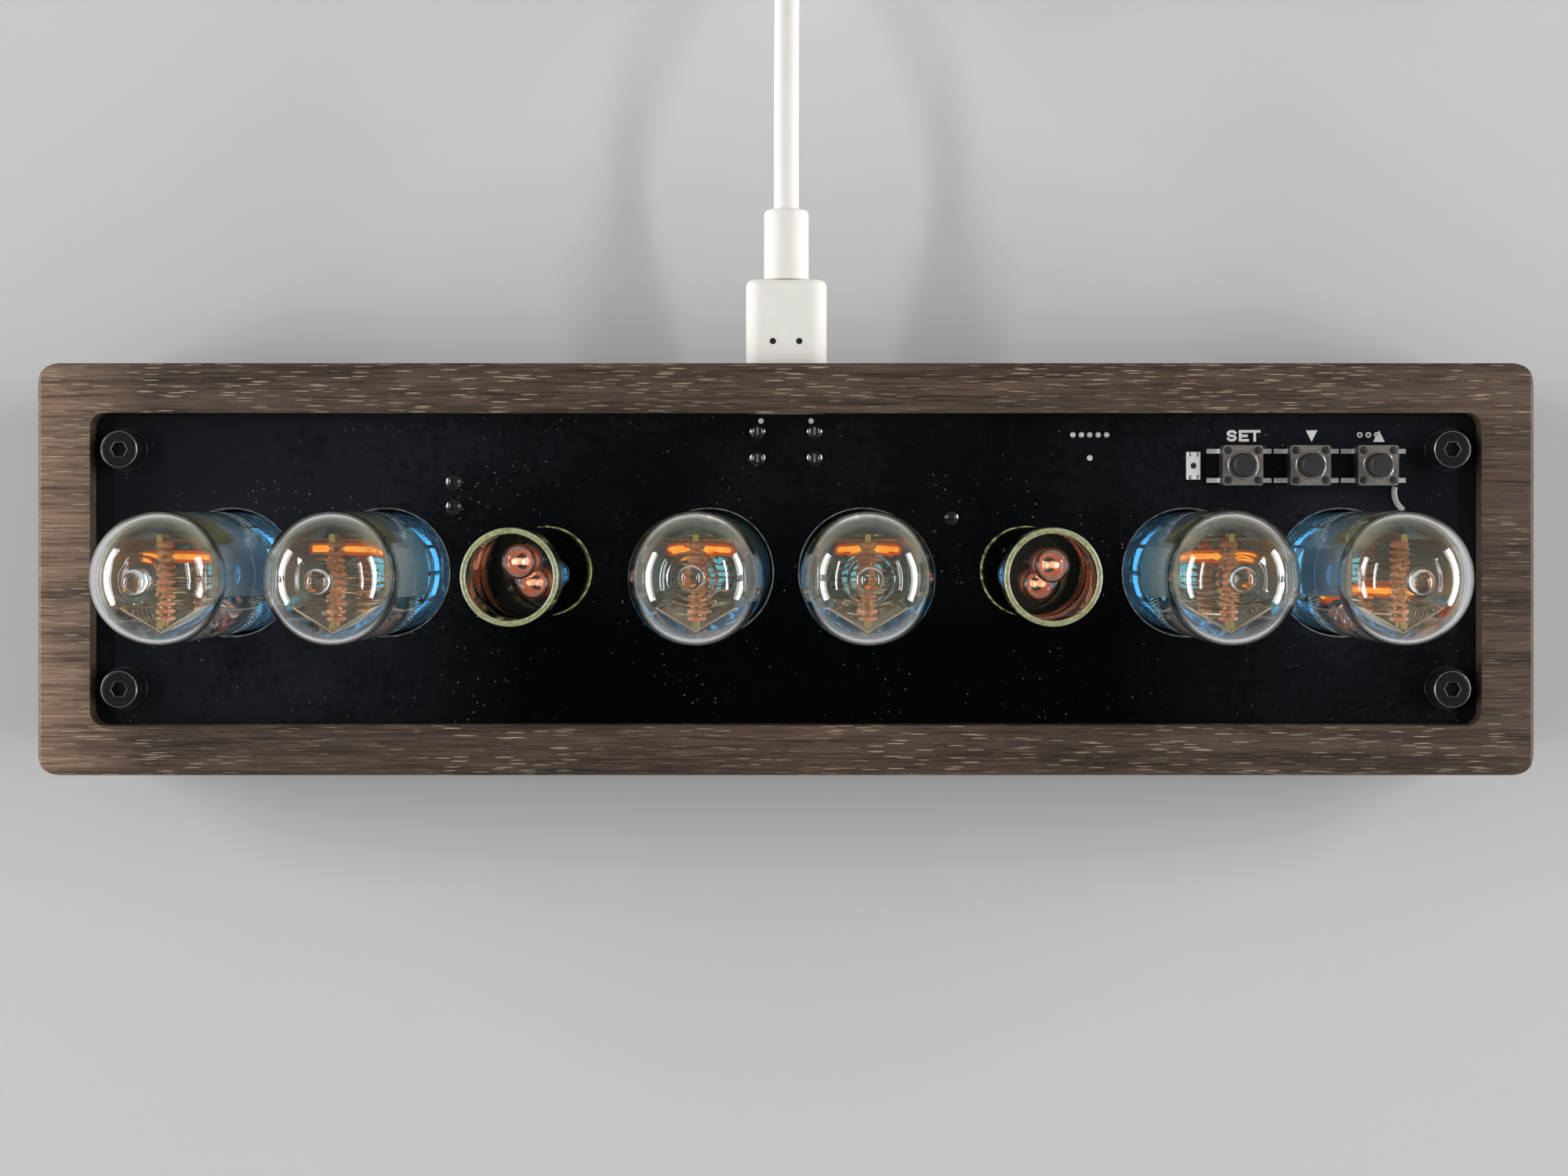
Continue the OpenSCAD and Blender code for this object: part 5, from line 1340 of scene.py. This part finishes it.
class CLOCK_OT_colons(bpy.types.Operator):
    """Make the two colon tubes and their neon lamps"""
    bl_idname = "clock.colons"
    bl_label = "Colons"

    # each lamp's place in its tube and its tip's height above the board, in mm
    LAMPS = [((0, 1.9), 34.0), ((0, -1.4), 19.0), ((0.8, 1.4), 34.0), ((0.5, -1.6), 19.0)]
    lamp_radius: number("Lamp radius", "Radius of a neon lamp", 2.4)
    lamp_length: number("Lamp length", "Length of a neon lamp", 11.0)

    def tubes(self):
        wall = sizes().colon_wall
        rim = arc(COLON_R - wall / 2, COLON_HIGH - 0.35, wall / 2, 0, 180, 8, 0.35)
        section = [(COLON_R, COLON_LOW)] + rim + [(COLON_R - wall, COLON_LOW)]
        for side, at in zip(("left", "right"), COLONS):
            tube = Shape().lathe(section, (at.x, at.y, 0), 96, closed=True)
            in_place_of(
                tube.object(f"colon_tube_{side}", "colon_glass", 50), "colon_glass", f"colon_glass_{side}")

    def seats(self):
        """The olive line round each tube on the board, and a black sleeve of painted shade in its hole."""
        seats, shade_sleeves = Shape(), Shape()
        under = span("top_board")[0].z
        near, far = COLON_R + 0.05, COLON_R + 0.2
        sleeve_section = [(near, COLON_LOW), (far, COLON_LOW), (far, under), (near, under)]
        for at in COLONS:
            seats.lathe(circle(near, BOARD_TOP + 0.12, 0.18, 8), (at.x, at.y, 0), 72, closed=True)
            # painted shade: a black sleeve between the boards keeps the space round the tube's foot dark
            shade_sleeves.lathe(sleeve_section, (at.x, at.y, 0), 72, closed=True)
        fit(seats.object("colon_seats", "seat"))
        fit(shade_sleeves.object("colon_shade_sleeves", "black_plastic"))

    def lamps(self):
        """Bulbs with their hollows, the glow on both wires of each, and the haze round them."""
        bulbs, hollows, glows, haze = Shape(), Shape(), Shape(), Shape()
        r, long = self.lamp_radius, self.lamp_length
        # outlines and heights below each lamp's tip
        bulb = [(0, -long), (r * 0.6, -long), (r, 0.9 - long)] + arc(0, -r, r, 0, 90, 8)
        hollow = arc(0, -r, r - 0.3, 90, 0, 8) + [(r - 0.3, 1.8 - long), (0, 1.8 - long)]
        cloud = [(1.3, -8.6), (1.75, -8.6), (1.8, -3.4), (1.6, -2.7), (1.25, -2.7), (1.3, -3.4)]
        for index, ((x, y), top) in enumerate(self.LAMPS):
            colon = COLONS[index // 2]
            place = (colon.x + x, colon.y + y, BOARD_TOP + top)
            bulbs.lathe(bulb, place, 40)
            hollows.lathe(hollow, place, 40)
            for side in (-0.6, 0.6):
                wire = [Vector(place) + Vector((side, 0, z)) for z in (-8.6, -2.75, -2.55)]
                glows.sweep(wire, lambda t: 0.5 if t < 0.9 else 0.3, 14)
            haze.lathe(cloud, place, 32, closed=True)
        bulbs.cavity = range(len(bulbs.faces), len(bulbs.faces) + len(hollows.faces))
        bulbs.add(hollows.points, hollows.faces)
        in_place_of(bulbs.object("neon_lamp_bulbs", "lamp_glass", 60), "lamp_glass", "neon_bulbs")
        fit(glows.object("neon_glow", "lamp_metal"))
        fit(haze.object("neon_haze", "lamp_haze", 60))
        finish_node("neon_electrodes", "tin")

    def execute(self, context):
        self.tubes()
        self.seats()
        self.lamps()
        return {"FINISHED"}


class CLOCK_OT_stage(bpy.types.Operator):
    """Make the pale floor and the soft studio light"""
    bl_idname = "clock.stage"
    bl_label = "Stage"

    # each side's strips: distance, place along Y, height, length and width in m, and watts
    STRIPS = [(1.3, 0.04, 0.31, 1.5, 0.22, 20.0), (0.62, 0.06, 0.55, 0.6, 0.045, 1.9)]
    FLOOR_HALF = 2.5
    # the point that all strips face, in m
    AIM = Vector((0, 0, 0.03))
    sky: number("Sky", "Strength of the even light", 0.18)

    def lamp(self, name, place, size, power):
        light = bpy.data.lights.new(name, "AREA")
        light.shape = "RECTANGLE"
        light.size, light.size_y = size
        light.energy = power
        lamp = bpy.data.objects.new(name, light)
        lamp.location = place
        lamp.rotation_euler = (self.AIM - Vector(place)).to_track_quat("-Z", "Y").to_euler()
        bpy.context.collection.objects.link(lamp)

    def execute(self, context):
        half = self.FLOOR_HALF
        mesh = bpy.data.meshes.new("floor")
        mesh.from_pydata(
            [(-half, -half, 0), (half, -half, 0), (half, half, 0), (-half, half, 0)], [], [(0, 1, 2, 3)])
        floor = bpy.data.objects.new("floor", mesh)
        context.collection.objects.link(floor)
        paper = Finish("floor_paper", Roughness=0.9)
        tone = tuple(colours().floor)
        paper.set("Base Color", paper.mix(paper.noise(0.02, 2), [v * 0.985 for v in tone], tone))
        floor.data.materials.append(paper.material)
        for side, name in ((-1, "left"), (1, "right")):
            for number, (away, y, height, long, wide, power) in enumerate(self.STRIPS, 1):
                self.lamp(f"{name}_strip_{number}", (side * away, y, height), (long, wide), power)
        world = bpy.data.worlds.new("studio")
        world.use_nodes = True
        sky = world.node_tree.nodes["Background"].inputs
        sky["Color"].default_value = (0.93, 0.95, 1, 1)
        sky["Strength"].default_value = self.sky
        context.scene.world = world
        context.scene.view_settings.view_transform = "Standard"
        return {"FINISHED"}


STEPS = ("camera", "cable", "case", "boards", "switches", "tubes", "lit_digits", "colons", "stage")


class CLOCK_PT_panel(bpy.types.Panel):
    """Lists the steps that dress the clock"""
    bl_idname = "CLOCK_PT_panel"
    bl_label = "Nixie tube clock"
    bl_space_type = "VIEW_3D"
    bl_region_type = "UI"
    bl_category = "Clock"

    def draw(self, context):
        for step in STEPS:
            self.layout.operator(f"clock.{step}")
        for group in (context.scene.clock_sizes, context.scene.clock_colours):
            for key in group.__annotations__:
                self.layout.prop(group, key)


CLASSES = (
    ClockSizes, ClockColours, CLOCK_OT_camera, CLOCK_OT_cable, CLOCK_OT_case, CLOCK_OT_boards,
    CLOCK_OT_switches, CLOCK_OT_tubes, CLOCK_OT_lit_digits, CLOCK_OT_colons, CLOCK_OT_stage, CLOCK_PT_panel)


def register():
    for item in CLASSES:
        bpy.utils.register_class(item)
    bpy.types.Scene.clock_sizes = bpy.props.PointerProperty(type=ClockSizes)
    bpy.types.Scene.clock_colours = bpy.props.PointerProperty(type=ClockColours)


def unregister():
    del bpy.types.Scene.clock_sizes
    del bpy.types.Scene.clock_colours
    for item in reversed(CLASSES):
        bpy.utils.unregister_class(item)


def main():
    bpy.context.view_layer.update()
    register()
    FINISHES.update(make_finishes())
    for step in STEPS:
        getattr(bpy.ops.clock, step)()


if __name__ == "__main__":
    main()
